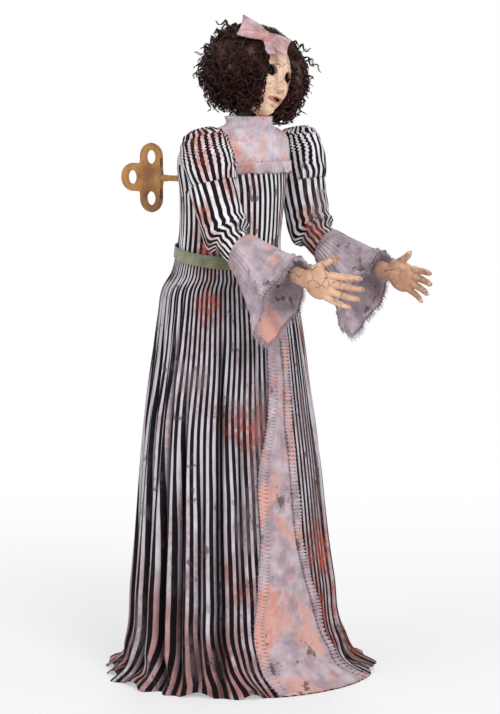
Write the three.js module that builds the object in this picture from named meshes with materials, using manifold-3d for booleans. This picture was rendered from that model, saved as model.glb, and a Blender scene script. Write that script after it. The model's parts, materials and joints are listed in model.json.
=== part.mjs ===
// A life-size wind-up doll: a pole frame on a bent-tube base, a striped dress over it, a turning
// and tilting head, two posable arms and a large wind-up key driven from inside its back.
// Millimetres, +Z up, the doll faces -Y and its left side is +X. The origin is on the floor
// under the middle of the base hub.
import * as THREE from "three";
import { mergeVertices } from "three/addons/utils/BufferGeometryUtils.js";
import Module from "manifold-3d";

const wasm = await Module();
wasm.setup();

const deg = Math.PI / 180;
const PLAIN_SIDES = 8; // of a round piece inside the doll
const BEARING_SIDES = 12; // of a shaft that turns and of its bore
const SMOOTH_SIDES = 18; // of a larger or a visible one
const BIG = 400; // side of a block that cuts away everything beyond a plane

// Clearances between pieces
const SEAT = 0.3; // a piece that rests on another
const RUN = 0.35; // a shaft in its bearing
const CLOTH_GAP = 1; // one cloth layer over another
const CLOTH = 2; // thickness of a single cloth layer
const SHELL = 3; // thickness of a moulded shell or a lined sleeve

// Base and poles
const BASE_TUBE_R = 11;
const BASE_TUBE_Z = 14;
const FOOT_CLEAR = 37; // from a foot to the skirt's folds near the floor
const FOOT_CAP_R = 15;
const FOOT_CAP_LENGTH = 34;
const FOOT_WALL = 3; // rubber between the tube's end and the outside
const HUB_SIZE = 90;
const HUB_HEIGHT = 62;
const LOWER_POLE_R = 14;
const LOWER_POLE_TOP = 560;
const POLE_WALL = 1.6;
const UPPER_POLE_R = LOWER_POLE_R - POLE_WALL - SEAT;
const UPPER_POLE_BOTTOM = 480;
const POLE_SOCKET = 33; // how far the upper pole runs into the waist motor
const COLLAR_R = 22;
const COLLAR_HEIGHT = 30;
const POLE_SEAT_Z = 12; // floor of the blind hole in the hub

// Waist: the skirt hangs from the hip shell, the torso turns on the waist motor
const HIP_BOTTOM = 822;
const WAIST_MOTOR_R = 37;
const WAIST_MOTOR_HEIGHT = 112;
const WAIST_SPLIT = 991.5; // the torso turns above this height
const TURN_GAP = 2; // between what turns at the waist and what doesn't
const TURN_SHAFT_R = 9;
const TURN_SHAFT_LENGTH = 60;

// Skirt: heights with half width, half depth and centre, from the waist down to the hem
const SKIRT_STATIONS = [
  { z: 989.5, a: 155, b: 130, cy: 0 },
  { z: 950, a: 176, b: 151, cy: 0 },
  { z: 890, a: 188, b: 161, cy: -1 },
  { z: 600, a: 229, b: 195, cy: -4 },
  { z: 230, a: 268, b: 229, cy: -14 },
  { z: 85, a: 286, b: 248, cy: -22 },
  { z: 22, a: 308, b: 288, cy: -32 },
  { z: 1.2, a: 342, b: 326, cy: -40 },
];
const SKIRT_COLUMNS = 52;
const HIP_COLUMNS = SKIRT_COLUMNS / 4;
const HIP_TOP = SKIRT_STATIONS[0].z - CLOTH; // the hip shell's top lies at the skirt's top
const MOTOR_TOP = HIP_TOP - SHELL - SEAT;
const UPPER_POLE_TOP = MOTOR_TOP - WAIST_MOTOR_HEIGHT + POLE_SOCKET;
const SKIRT_FOLDS = 13;
const SKIRT_FOLD_DEPTH = 9; // of a fold over most of the skirt
const HEM_FOLD_DEPTH = 16;
const FOLD_EASE = 350; // height over which the folds grow below the hips
const LOWEST_FLARE = SKIRT_STATIONS.at(-2).b - HEM_FOLD_DEPTH;
const FOOT_REACH = (LOWEST_FLARE - FOOT_CLEAR) * Math.SQRT1_2; // along X and along Y
const BASE_TUBE_BENDS = [[FOOT_REACH, FOOT_REACH], [96, 98], [38, 44], [24, 0]];

// Front panel: height, half width and sideways middle, angles worked out from the skirt
const PANEL_STATIONS = [
  { z: 984, half: 14, x: -16 },
  { z: 950, half: 15, x: -18 },
  { z: 890, half: 17, x: -22 },
  { z: 700, half: 25, x: -36 },
  { z: 600, half: 38, x: -46 },
  { z: 420, half: 50, x: -62 },
  { z: 230, half: 72, x: -58 },
  { z: 85, half: 104, x: -54 },
  { z: 22, half: 122, x: -42 },
  { z: 3, half: 144, x: -28 },
];
const PANEL_COLUMNS = 8;
const PANEL_GAP = 1.6; // from the skirt to the panel sewn over it
const TRIM_WIDTH = 24;
const TRIM_WAVE = 4; // how far the gathers of a trim stand to each side
const TRIM_GATHERS = 10;
const TRIM_STEPS = 28;

// Torso: heights with half width, front and back surface and centre
const BODICE_STATIONS = [
  { z: 993.5, a: 146, front: -124, back: 121, cy: 0 },
  { z: 1035, a: 139, front: -118, back: 117, cy: 0 },
  { z: 1110, a: 136, front: -124, back: 113, cy: -8 },
  { z: 1190, a: 141, front: -131, back: 114, cy: -20 },
  { z: 1256.5, a: 152, front: -131, back: 116, cy: -30 },
];
const YOKE_STATIONS = [
  { z: 1257, a: 152, front: -131, back: 116, cy: -30 },
  { z: 1295, a: 150, front: -127, back: 97, cy: -42 },
  { z: 1322, a: 134, front: -121, back: 60, cy: -50 },
  { z: 1338, a: 96, front: -118, back: 16, cy: -58 },
  { z: 1346, a: 62, front: -122, back: 0, cy: -62 },
  { z: 1370, a: 57, front: -120, back: -6, cy: -63 },
];
const TORSO_COLUMNS = 24;
const ARMHOLE_X = 128; // flat side of the torso where the sleeve begins
const ARMHOLE_BOTTOM = 1176;
const ARMHOLE_R = 38;
const KEY_HOLE_R = 11;
const YOKE_RUFFLE_DROP = 26;
const YOKE_RUFFLE_WAVE = 3;
const YOKE_RUFFLE_GATHERS = 16;
const BELT_WIDTH = 29;
const BELT_BACK_Z = 1045;
const BELT_TILT = 8; // degrees, lower at the front

// Frame inside the torso
const SPINE_R = 11;
const SPINE_ROUTE = [[0, 0, 995], [0, 0, 1080], [0, -14, 1150], [0, -40, 1210], [0, -56, 1262]];
const SPINE_FOOT = SPINE_ROUTE[0][2];
const TURNTABLE_R = 34;
const BAR_Y = -77;
const BAR_Z = 1295;
const BAR_R = 10;
const BAR_END = 3.65; // of the bar inside each shoulder collar
const CHEST_WALL = 3;
const CHEST_HALF = 104;
const CHEST_TOP = 1318;
const CHEST_BOTTOM = 1196;
const BOX_SIZE = { x: 104, y: 46, z: 86 };
const BOX_BOTTOM = 1024;
const LID = 3;
const SPEAKER_R = 29;
const SPEAKER_DEPTH = 17;
const BOX_FRONT = SPINE_R + SEAT;
const LID_INSIDE = BOX_FRONT + BOX_SIZE.y + SEAT;
const LID_MIDDLE_Z = BOX_BOTTOM + BOX_SIZE.z / 2;

// Wind-up key and its drive
const KEY_Z = 1213;
const KEY_SHAFT_R = 7.5;
const KEY_SHAFT_FRONT = 22;
const KEY_BOW_BACK = 356;
const KEY_BOW_FRONT = 221;
const KEY_BOW_HEIGHT = 175;
const KEY_PLATE = 14;
const LOBE_HOLE_R = 17;
const LOBE_SPACING = 104; // between the middles of the upper and the lower hole
const BOW_LOBE_R = (KEY_BOW_HEIGHT - LOBE_SPACING) / 2;
const KEY_SOCKET = 34; // how far the shaft runs into the bow
const KEY_TANG_R = 0.6 * KEY_SHAFT_R;
const GEAR_MODULE = 1.6;
const GEAR_TEETH = 36;
const PINION_TEETH = 9;
const GEAR_DISTANCE = (GEAR_MODULE * (GEAR_TEETH + PINION_TEETH)) / 2;
const TOOTH = { below: 1.2, above: 0.85, wide: 0.34, narrow: 0.11 }; // in modules and in pitches
const GEAR_WIDTH = 8;
const GEAR_Y = 50;
const PINION_SHAFT_R = 3;
const FRAME_PLATE = 4;
const FRAME_FRONT_Y = 30;
const FRAME_BACK_Y = 72;
const FRAME_WIDTH = 120;
const FRAME_HEIGHT = 76;
const SADDLE = { deep: 82, high: 60 }; // block of the frame that sits on the spine
const KEY_MOTOR_R = 14;
const KEY_MOTOR_LENGTH = 40;

// Head: the neck turns on the head motor, the head tilts on the neck bracket
const NECK_Y = -62;
const TILT_Z = 1400;
const HEAD_TILT_REST = 18; // degrees towards the doll's left shoulder
const NECK_TURN_Z = 1338;
const NECK_SHAFT_R = 8;
const NECK_SHAFT_BOTTOM = BAR_Z + BAR_R + 5;
const NECK_R = 22;
const NECK_CLEAR = 4; // between the neck and the mask's lower edge
const EAR = { half: 9, wall: 5, gap: 10 }; // each ear of the neck bracket, beside the tilt pin
const TILT_PIN_R = 4;
const TILT_FURTHER = 3; // degrees past the rest tilt
const TILT_BACK = -2; // degrees past upright
const HEAD_MOTOR_SIZE = { x: 66, y: 50, z: 84 };
const HEAD_MOTOR_Y = -65.5;
const SKULL_FRONT = -42;
const SKULL_FLOOR = 18;
const SKULL_PORT_R = 28; // opening in the back of the skull
const FACE_WALL = 4;
const FACE = { x: 66, y: 74, z: 106 }; // half sizes of the plain egg under the features
const FACE_CENTRE = { y: -4, z: 70 };
const JAW_TAPER = 0.34; // share by which the egg narrows at its lower end
const NOSE = { z: 42, y: -76, x: 8, depth: 15, high: 17 };
const EYE = { x: 32, z: 76, rx: 15, rz: 11.5 };
const EYE_BACKING = { x: 102, z: 31, front: -64 };
const MOUTH = { z: 10, rx: 19, rz: 7 };
const LIPS = { y: -70, half: 21, depth: 10, high: 11 };
const GUMS = { x: 34, z: 7, lift: 2 };
const CHIN = { x: 29, y: 24, z: 26, forward: -50, up: -2 }; // half sizes and place
const WIG = { x: 162, y: 152, z: 118 }; // half sizes
const WIG_CENTRE = { x: 4, y: 10, z: 80 };
const WIG_GAP = 1; // from the skull to the wig cap
const CURL_LUMP = 0.07; // share of the wig's size that its lumps stand out
const LUMP_SINK = 0.6; // of a lump's height, by which the whole mop is drawn in
const WINDOW = { rx: 56, rz: 84, z: 62 }; // opening of the wig round the face
const NECK_ROOM_R = 80;
const NECK_ROOM_DROP = 36;
const BOW = {
  x: -79, y: -77, z: 154, lean: -32, roll: 12, yaw: -38,
  loop: 62, high: 30, thick: 9, knot: 12, waist: 0.25, flat: 0.375,
};
const BOW_TAIL = { size: [26, 4, 54], middle: [12, -2, -32], turn: [-6, -14, 0] };

// Arms, in the planes x = ARM_X to the left and x = -ARM_X to the right
const ARM_X = 176;
const UPPER_LENGTH = 212;
const UPPER_ANGLE = { right: 18, left: 12 }; // degrees forward of straight down
const FOREARM_LENGTH = 240;
const FOREARM_DROP = 22; // degrees below level
const HAND_DROP = 13;
const BEND = 90 - FOREARM_DROP; // the forearm's angle forward of straight down
const ROD_R = 7;
const EYE_R = 17; // ring at the shoulder end of an upper arm rod
const EYE_WIDTH = 20;
const BAR_HALF = ARM_X + EYE_WIDTH / 2 + RUN + BAR_END; // shoulder bar, from the middle to each end
const PLUG_WIDTH = 8; // disc on a rod that carries the sleeve round it
const UPPER_PLUG_Z = -128;
const FOREARM_PLUG_Z = -70;
const ELBOW_FLEX = 30; // how far the elbow bends further than its rest
const ELBOW_EASE = 5; // and how far it opens
const ELBOW_BOLT_R = 4;
const ELBOW_EYE_R = 13;
const ELBOW_EYE_WIDTH = 8;
const BOLT_HEAD_R = 8;
const BOLT_HEAD = 3.6;
const CAP_R = 57; // puffed head of the sleeve
const SLEEVE_R = 52;
const SLEEVE_SIDES = 16;
const ELBOW_BALL_R = 48;
const SOCKET_MARGIN = 3; // degrees between the sleeve's rim and the forearm at full bend
const FOREARM_SLEEVE_R = 37;
const SLEEVE_END = 78; // from the elbow to the end of the fitted forearm sleeve
const SLEEVE_SAG = 14; // how far the forearm sleeve's end hangs below the forearm's axis

// Upper sleeve: distance down from the shoulder and radius, a puffed head above a straight tube
const UPPER_SLEEVE = [
  { z: 46, r: 8 }, { z: 40, r: 30 }, { z: 24, r: 49 }, { z: 2, r: CAP_R },
  { z: -45, r: CAP_R + 2 }, { z: -78, r: SLEEVE_R + 3 }, { z: -86, r: SLEEVE_R },
  { z: -UPPER_LENGTH - ELBOW_BALL_R, r: SLEEVE_R },
];

// Cuffs
const CUFF_START = 62; // from the elbow along the forearm to the cuff's seam
const CUFF_SEAM_DROP = 6; // how far the seam's middle lies below the sleeve's
const CUFF_EASE = 1.25; // power by which the cuff widens slowly at first
const CUFF_REACH = 228; // from the elbow to the upper lip
const CUFF_TOP_Y = -36; // the upper lip stands above the axis
const CUFF_BOTTOM_Y = 186; // the lower lip hangs below it
const CUFF_MOUTH = { y: (CUFF_TOP_Y + CUFF_BOTTOM_Y) / 2, ry: (CUFF_BOTTOM_Y - CUFF_TOP_Y) / 2 };
const CUFF_LIP_LEAN = 24; // the lower lip lies this far behind the upper one
const CUFF_HALF_WIDTH = 66;
const CUFF_COLUMNS = 24;
const CUFF_WAVES = 6;
const CUFF_WAVE = 6;

// Hands: palm, four slightly spread fingers and a thumb, seen with the fingers hanging down
const WRIST_R = 21;
const WRIST_FLARE = 4;
const WRIST_SCALE = [0.8, 1, 1];
const WRIST_CONE = 6; // the wrist starts this far inside the forearm's end
const PALM = { from: 24, to: 92, half: 36, thick: 13, overlap: 12 };
const FINGERS = [
  { y: -27, r: 8.6, length: 72, spread: -7 },
  { y: -9.5, r: 9, length: 82, spread: -2 },
  { y: 8.5, r: 8.6, length: 76, spread: 3 },
  { y: 25.5, r: 7.4, length: 60, spread: 10 },
];
const THUMB = { y: -30, z: -38, r: 9.5, length: 58, spread: -38 };
const BONE_SHARES = [0.42, 0.32, 0.26]; // of a finger's length, from its root
const FINGER_TAPER = 0.11; // share of its radius lost at each joint
const FINGER_SIDES = 5;
const CURL = 12; // degrees that each finger turns towards the palm at each of its joints
const SWIVEL_PIN_R = 5;
const SWIVEL_PIN_LENGTH = 24;

// Controls on the box
const SWITCH_TRAVEL = 5;
const BUTTON_TRAVEL = 2.5;
const BUTTON_R = 5;
const SWITCH = { x: 22, z: 30, stem: 4, knob: 11 }; // beside and above the lid's middle

// Finishes: colour, roughness and metalness of each material
const finish = (color, roughness, metalness = 0) =>
  new THREE.MeshStandardMaterial({ color, roughness, metalness });
const STEEL = finish(0x8d9094, 0.45, 0.9);
const BLACK_TUBE = finish(0x202225, 0.5, 0.6);
const RUBBER = finish(0x1c1c1c, 0.9);
const BLACK_PLASTIC = finish(0x26272b, 0.55);
const GREY_PLASTIC = finish(0x6d7074, 0.5);
const RED_PLASTIC = finish(0x9a2f2a, 0.45);
const BRASS = finish(0xb59a52, 0.4, 0.9);
const GOLD_PAINT = finish(0xb07a3e, 0.5, 0.35);
const STRIPED_CLOTH = finish(0x8d8894, 0.85);
const STAINED_CLOTH = finish(0xcfc0cc, 0.85);
const RIBBON = finish(0x7e8266, 0.7);
const HAIR = finish(0x2c1618, 0.6);
const DOLL_SKIN = finish(0xe8cfa8, 0.5);
const HAND_SKIN = finish(0xdcb98a, 0.55);
const TEETH_WHITE = finish(0xe9e2cf, 0.35);
const VOID_BLACK = finish(0x0b0a0a, 0.9);

// A closed mesh as a solid for joining and cutting
function solid(geometry) {
  const bare = geometry.clone();
  bare.deleteAttribute("normal");
  bare.deleteAttribute("uv");
  const merged = mergeVertices(bare, 1e-4);
  const vertProperties = new Float32Array(merged.attributes.position.array);
  const triVerts = new Uint32Array(merged.index.array);
  const made = new wasm.Manifold(new wasm.Mesh({ numProp: 3, vertProperties, triVerts }));
  if (made.volume() >= 0) return made;
  for (let i = 0; i < triVerts.length; i += 3)
    [triVerts[i + 1], triVerts[i + 2]] = [triVerts[i + 2], triVerts[i + 1]];
  return new wasm.Manifold(new wasm.Mesh({ numProp: 3, vertProperties, triVerts }));
}

const join = (first, ...rest) => rest.reduce((all, one) => all.add(one), first);
const cut = (first, ...rest) => rest.reduce((left, one) => left.subtract(one), first);

function toGeometry(manifold) {
  const { vertProperties, triVerts } = manifold.getMesh();
  const geometry = new THREE.BufferGeometry();
  geometry.setAttribute("position", new THREE.BufferAttribute(vertProperties, 3));
  geometry.setIndex(new THREE.BufferAttribute(triVerts, 1));
  geometry.computeVertexNormals();
  return geometry;
}

function piece(parent, name, material, manifold) {
  const mesh = new THREE.Mesh(toGeometry(manifold), material);
  mesh.name = name;
  parent.add(mesh);
  return mesh;
}

const vec = (x, y, z) => new THREE.Vector3(x, y, z);

function box(size, centre, turn = [0, 0, 0]) {
  const geometry = new THREE.BoxGeometry(...size);
  geometry.rotateX(turn[0] * deg).rotateY(turn[1] * deg).rotateZ(turn[2] * deg);
  return solid(geometry.translate(...centre));
}

function ball(radii, centre, around = 14, down = 10) {
  const geometry = new THREE.SphereGeometry(1, around, down);
  return solid(geometry.scale(...radii).translate(...centre));
}

// A round rod from one point to another, with its own radius at each end
function rod(from, to, radius, sides = PLAIN_SIDES, endRadius = radius) {
  const start = vec(...from);
  const way = vec(...to).sub(start);
  const geometry = new THREE.CylinderGeometry(endRadius, radius, way.length(), sides);
  geometry.translate(0, way.length() / 2, 0);
  geometry.applyQuaternion(new THREE.Quaternion().setFromUnitVectors(vec(0, 1, 0), way.normalize()));
  return solid(geometry.translate(...from));
}

// A shaft that turns, and the cutter of the bore it turns in, whose flats lie at the radius
const shaftRod = (from, to, radius) => rod(from, to, radius, BEARING_SIDES);
const bore = (from, to, radius) => shaftRod(from, to, radius / Math.cos(Math.PI / BEARING_SIDES));

const roundOutline = (radius, sides) =>
  Array.from({ length: sides }, (_, j) => {
    const angle = (2 * Math.PI * j) / sides;
    return new THREE.Vector2(radius * Math.cos(angle), radius * Math.sin(angle));
  });

// A round bar along a smooth route
function bentRod(points, radius, sides = PLAIN_SIDES, steps = 14) {
  const route = new THREE.CatmullRomCurve3(points.map((p) => vec(...p)), false, "centripetal");
  const section = new THREE.Shape(roundOutline(radius, sides));
  return solid(
    new THREE.ExtrudeGeometry(section, { steps, extrudePath: route, bevelEnabled: false }),
  );
}

// Triangles between rings of equally many points, each joined to the next
function ringFaces(rings, loop) {
  const columns = rings[0].length;
  const faces = [];
  const strips = loop ? rings.length : rings.length - 1;
  for (let i = 0; i < strips; i++) {
    const upper = i * columns;
    const lower = ((i + 1) % rings.length) * columns;
    for (let j = 0; j < columns; j++) {
      const k = (j + 1) % columns;
      faces.push(upper + j, lower + j, upper + k, upper + k, lower + j, lower + k);
    }
  }
  return faces;
}

function indexedSolid(points, faces) {
  const geometry = new THREE.BufferGeometry().setFromPoints(points);
  geometry.setIndex(faces);
  return solid(geometry);
}

// A ring of rings round a hollow: the last ring is joined to the first
const loopLoft = (rings) => indexedSolid(rings.flat(), ringFaces(rings, true));

// A body through rings, closed at both ends by a fan of triangles round the ring's middle
function loft(rings) {
  const columns = rings[0].length;
  const points = rings.flat();
  const faces = ringFaces(rings, false);
  const last = (rings.length - 1) * columns;
  const middles = [rings[0], rings.at(-1)].map((ring) =>
    ring.reduce((sum, p) => sum.add(p), vec(0, 0, 0)).divideScalar(columns),
  );
  for (let j = 0; j < columns; j++) {
    const k = (j + 1) % columns;
    faces.push(points.length, j, k, points.length + 1, last + k, last + j);
  }
  return indexedSolid([...points, ...middles], faces);
}

// A thin sheet: a grid of points on its outside, the same grid on its inside with the same
// diagonals, so that the walls stay apart in every gather, and a rim between them
function sheet(outer, inner) {
  const [rows, columns] = [outer.length, outer[0].length];
  const layer = rows * columns;
  const faces = [];
  const rim = (p, q) => faces.push(p, q, q + layer, p, q + layer, p + layer);
  for (let i = 0; i < rows - 1; i++)
    for (let j = 0; j < columns - 1; j++) {
      const a = i * columns + j;
      const [b, c, d] = [a + columns, a + 1, a + columns + 1];
      faces.push(a, b, c, c, b, d);
      faces.push(a + layer, c + layer, b + layer, c + layer, d + layer, b + layer);
      if (j === 0) rim(b, a);
      if (j === columns - 2) rim(c, d);
      if (i === 0) rim(a, c);
      if (i === rows - 2) rim(d, b);
    }
  return indexedSolid([...outer.flat(), ...inner.flat()], faces);
}

// Value of each named field at a height, straight between the stations above and below
function atHeight(stations, z) {
  const last = stations.length - 2;
  let i = 0;
  const down = stations[0].z > stations[1].z;
  while (i < last && (down ? stations[i + 1].z > z : stations[i + 1].z < z)) i++;
  const [from, to] = [stations[i], stations[i + 1]];
  const share = THREE.MathUtils.clamp((z - from.z) / (to.z - from.z), 0, 1);
  const values = {};
  for (const key of Object.keys(from)) values[key] = from[key] + (to[key] - from[key]) * share;
  return { ...values, z };
}

const doll = new THREE.Group();
const sides = [["right", -1], ["left", 1]];

// Base: a heavy hub on two bent tubes, with rubber caps on their four ends
function baseTubeRoute(side) {
  const front = BASE_TUBE_BENDS.map(([x, y]) => [side * x, -y, BASE_TUBE_Z]);
  const rear = BASE_TUBE_BENDS.slice(0, -1).map(([x, y]) => [side * x, y, BASE_TUBE_Z]);
  return [...front, ...rear.toReversed()];
}

function footCap(side, end) {
  const reach = vec(side, end, 0).normalize();
  const tubeEnd = vec(side * FOOT_REACH, end * FOOT_REACH, BASE_TUBE_Z);
  const outside = tubeEnd.clone().addScaledVector(reach, FOOT_WALL);
  const inside = outside.clone().addScaledVector(reach, -FOOT_CAP_LENGTH);
  const boreEnd = tubeEnd.clone().addScaledVector(reach, SEAT);
  const boreStart = inside.clone().addScaledVector(reach, -SEAT - FOOT_WALL);
  const at = (p) => p.toArray();
  const below = box([FOOT_REACH, FOOT_REACH, FOOT_CAP_R], [tubeEnd.x, tubeEnd.y, -FOOT_CAP_R / 2]);
  const tubeBore = rod(at(boreStart), at(boreEnd), BASE_TUBE_R + 3 * SEAT);
  return cut(rod(at(inside), at(outside), FOOT_CAP_R), tubeBore, below);
}

function buildBase(parent) {
  const channels = sides.map(([, side]) => bentRod(baseTubeRoute(side), BASE_TUBE_R + SEAT));
  const poleBore = rod([0, 0, POLE_SEAT_Z + BASE_TUBE_Z], [0, 0, HUB_HEIGHT + SEAT], LOWER_POLE_R + SEAT);
  const block = box([HUB_SIZE, HUB_SIZE, HUB_HEIGHT], [0, 0, HUB_HEIGHT / 2]);
  piece(parent, "base_hub", BLACK_TUBE, cut(block, poleBore, ...channels));
  for (const [word, side] of sides) {
    piece(parent, `base_tube_${word}`, BLACK_TUBE, bentRod(baseTubeRoute(side), BASE_TUBE_R));
    piece(parent, `foot_cap_front_${word}`, RUBBER, footCap(side, -1));
    piece(parent, `foot_cap_rear_${word}`, RUBBER, footCap(side, 1));
  }
}

const tubeWall = (bottom, top, radius, wall) =>
  cut(
    rod([0, 0, bottom], [0, 0, top], radius),
    rod([0, 0, bottom - SEAT], [0, 0, top + SEAT], radius - wall),
  );

function buildPoles(parent) {
  const seat = POLE_SEAT_Z + BASE_TUBE_Z + SEAT;
  piece(parent, "lower_pole", STEEL, tubeWall(seat, LOWER_POLE_TOP, LOWER_POLE_R, POLE_WALL));
  piece(parent, "upper_pole", STEEL, tubeWall(UPPER_POLE_BOTTOM, UPPER_POLE_TOP, UPPER_POLE_R, POLE_WALL));
  const bottom = LOWER_POLE_TOP - COLLAR_HEIGHT / 2;
  const collar = cut(
    rod([0, 0, bottom], [0, 0, bottom + COLLAR_HEIGHT], COLLAR_R),
    rod([0, 0, bottom - SEAT], [0, 0, LOWER_POLE_TOP + SEAT], LOWER_POLE_R + SEAT),
    rod([0, 0, bottom], [0, 0, bottom + COLLAR_HEIGHT + SEAT], UPPER_POLE_R + SEAT),
  );
  piece(parent, "pole_collar", BLACK_PLASTIC, collar);
}

// Skirt: an oval that widens downwards and lies out on the floor, in folds that run down it and
// die out under the front panel
const smooth = (low, high, value) => THREE.MathUtils.smoothstep(value, low, high);

// Share of the full fold depth at a height: none where the skirt is sewn, most at the hem
function foldDepth(z) {
  const top = SKIRT_STATIONS[1].z;
  const full = top - FOLD_EASE;
  const atHem = (HEM_FOLD_DEPTH - SKIRT_FOLD_DEPTH) * (1 - smooth(0, full, z));
  return SKIRT_FOLD_DEPTH * (1 - smooth(full, top, z)) + atHem;
}

// A point on the skirt's oval, moved outwards by a distance square to it
function onSkirt(angle, z, out = 0) {
  const { a, b, cy } = atHeight(SKIRT_STATIONS, z);
  const [c, s] = [Math.cos(angle), Math.sin(angle)];
  const square = Math.hypot(c / a, s / b);
  return vec(a * c + (out * c) / a / square, cy + b * s + (out * s) / b / square, z);
}

// How far in the cloth lies at an angle: one dip for each fold, none beneath the panel
function foldAt(angle, z) {
  const { half, x } = atHeight(PANEL_STATIONS, z);
  const { a } = atHeight(SKIRT_STATIONS, z);
  const fromPanel = Math.abs(a * Math.cos(angle) - x) - half - TRIM_WIDTH;
  const open = Math.sin(angle) > 0 ? 1 : smooth(0, 2 * TRIM_WIDTH, fromPanel);
  return (foldDepth(z) * open * (1 - Math.cos(SKIRT_FOLDS * angle))) / 2;
}

const skirtRing = (z, out) =>
  Array.from({ length: SKIRT_COLUMNS }, (_, j) => {
    const angle = (2 * Math.PI * j) / SKIRT_COLUMNS;
    return onSkirt(angle, z, out - foldAt(angle, z));
  });

const skirtHeights = SKIRT_STATIONS.map((station) => station.z);

function buildSkirt(parent) {
  const outside = skirtHeights.map((z) => skirtRing(z, 0));
  const inside = skirtHeights.toReversed().map((z) => skirtRing(z, -CLOTH));
  piece(parent, "skirt", STRIPED_CLOTH, loopLoft([...outside, ...inside]));
}

// Angle on the skirt's front of a point that lies at x
const frontAngle = (x, z) => -Math.acos(x / atHeight(SKIRT_STATIONS, z).a);

function buildPanel(parent) {
  const row = (z, out) => {
    const { half, x } = atHeight(PANEL_STATIONS, z);
    return Array.from({ length: PANEL_COLUMNS + 1 }, (_, j) =>
      onSkirt(frontAngle(x + half * ((2 * j) / PANEL_COLUMNS - 1), z), z, out),
    );
  };
  const layer = (out) => PANEL_STATIONS.map(({ z }) => row(z, out));
  piece(parent, "front_panel", STAINED_CLOTH, sheet(layer(PANEL_GAP + CLOTH), layer(PANEL_GAP)));
  for (const [word, side] of sides)
    piece(parent, `panel_ruffle_${word}`, STAINED_CLOTH, panelTrim(side));
}

// A gathered strip sewn down its middle over one edge of the panel
function panelTrim(side) {
  const heights = PANEL_STATIONS.slice(0, -1).flatMap(({ z }, i) => {
    const drop = z - PANEL_STATIONS[i + 1].z;
    const count = Math.ceil((TRIM_STEPS * drop) / PANEL_STATIONS[0].z);
    return Array.from({ length: count }, (_, k) => z - (drop * k) / count);
  });
  heights.push(PANEL_STATIONS.at(-1).z);
  const turn = (z) => (2 * Math.PI * TRIM_GATHERS * z) / PANEL_STATIONS[0].z;
  const wave = (z) => TRIM_WAVE * (1 + Math.sin(turn(z)));
  const row = (z, out) => {
    const { half, x } = atHeight(PANEL_STATIONS, z);
    return [-1, 0, 1].map((across) => {
      const lift = across ? wave(z) : 0;
      return onSkirt(frontAngle(x + side * half + (across * TRIM_WIDTH) / 2, z), z, out + lift);
    });
  };
  const sewn = PANEL_GAP + CLOTH + CLOTH_GAP;
  const layer = (out) => heights.map((z) => row(z, out));
  return sheet(layer(sewn + CLOTH), layer(sewn));
}

// Hip shell: a closed-top form just inside the skirt that carries it
function hipRing(z, inward) {
  const kept = Math.min(z, SKIRT_STATIONS[0].z);
  return Array.from({ length: HIP_COLUMNS }, (_, j) => {
    const angle = (2 * Math.PI * j) / HIP_COLUMNS;
    return onSkirt(angle, kept, -CLOTH - 2 * SEAT - foldDepth(kept) - inward).setZ(z);
  });
}

function buildHip(parent) {
  const inner = [SKIRT_STATIONS[1].z, SKIRT_STATIONS[2].z];
  const outside = loft([HIP_TOP, ...inner, HIP_BOTTOM].map((z) => hipRing(z, 0)));
  const inside = loft([HIP_TOP - SHELL, ...inner, HIP_BOTTOM - SHELL].map((z) => hipRing(z, SHELL)));
  const shaftHole = bore([0, 0, HIP_TOP - 2 * SHELL], [0, 0, HIP_TOP + SHELL], TURN_SHAFT_R + RUN);
  piece(parent, "hip_shell", BLACK_PLASTIC, cut(outside, inside, shaftHole));
}

// The motor hangs under the shell's top plate, on the upper pole
function buildWaistMotor(parent) {
  const bottom = MOTOR_TOP - WAIST_MOTOR_HEIGHT;
  const housing = rod([0, 0, bottom], [0, 0, MOTOR_TOP], WAIST_MOTOR_R, SMOOTH_SIDES);
  const socket = rod([0, 0, bottom - SEAT], [0, 0, UPPER_POLE_TOP + SEAT], UPPER_POLE_R + SEAT);
  const bearing = bore(
    [0, 0, WAIST_SPLIT - TURN_SHAFT_LENGTH - TURN_GAP], [0, 0, MOTOR_TOP + SEAT], TURN_SHAFT_R + RUN,
  );
  piece(parent, "waist_motor", GREY_PLASTIC, cut(housing, socket, bearing));
}

// Torso: what turns on the waist motor
function torsoPoint(stations, angle, z, out = 0) {
  const { a, front, back, cy } = atHeight(stations, z);
  const depth = Math.sin(angle) < 0 ? cy - front : back - cy;
  const [c, s] = [Math.cos(angle), Math.sin(angle)];
  const square = Math.hypot(c / a, s / depth);
  return vec(a * c + (out * c) / a / square, cy + depth * s + (out * s) / depth / square, z);
}

const torsoRing = (stations, z, out, level = z) =>
  Array.from({ length: TORSO_COLUMNS }, (_, j) =>
    torsoPoint(stations, (2 * Math.PI * j) / TORSO_COLUMNS, z, out).setZ(level),
  );

// A garment shell through the stations, open at its top and its bottom
function garment(stations) {
  const heights = stations.map((station) => station.z);
  const [low, high] = [heights[0], heights.at(-1)];
  const outside = loft(heights.map((z) => torsoRing(stations, z, 0)));
  const inside = loft([
    torsoRing(stations, low, -SHELL, low - SHELL),
    ...heights.slice(1).map((z) => torsoRing(stations, z, -SHELL, z - SHELL)),
    torsoRing(stations, high, -SHELL, high + SHELL),
  ]);
  return cut(outside, inside);
}

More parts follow.
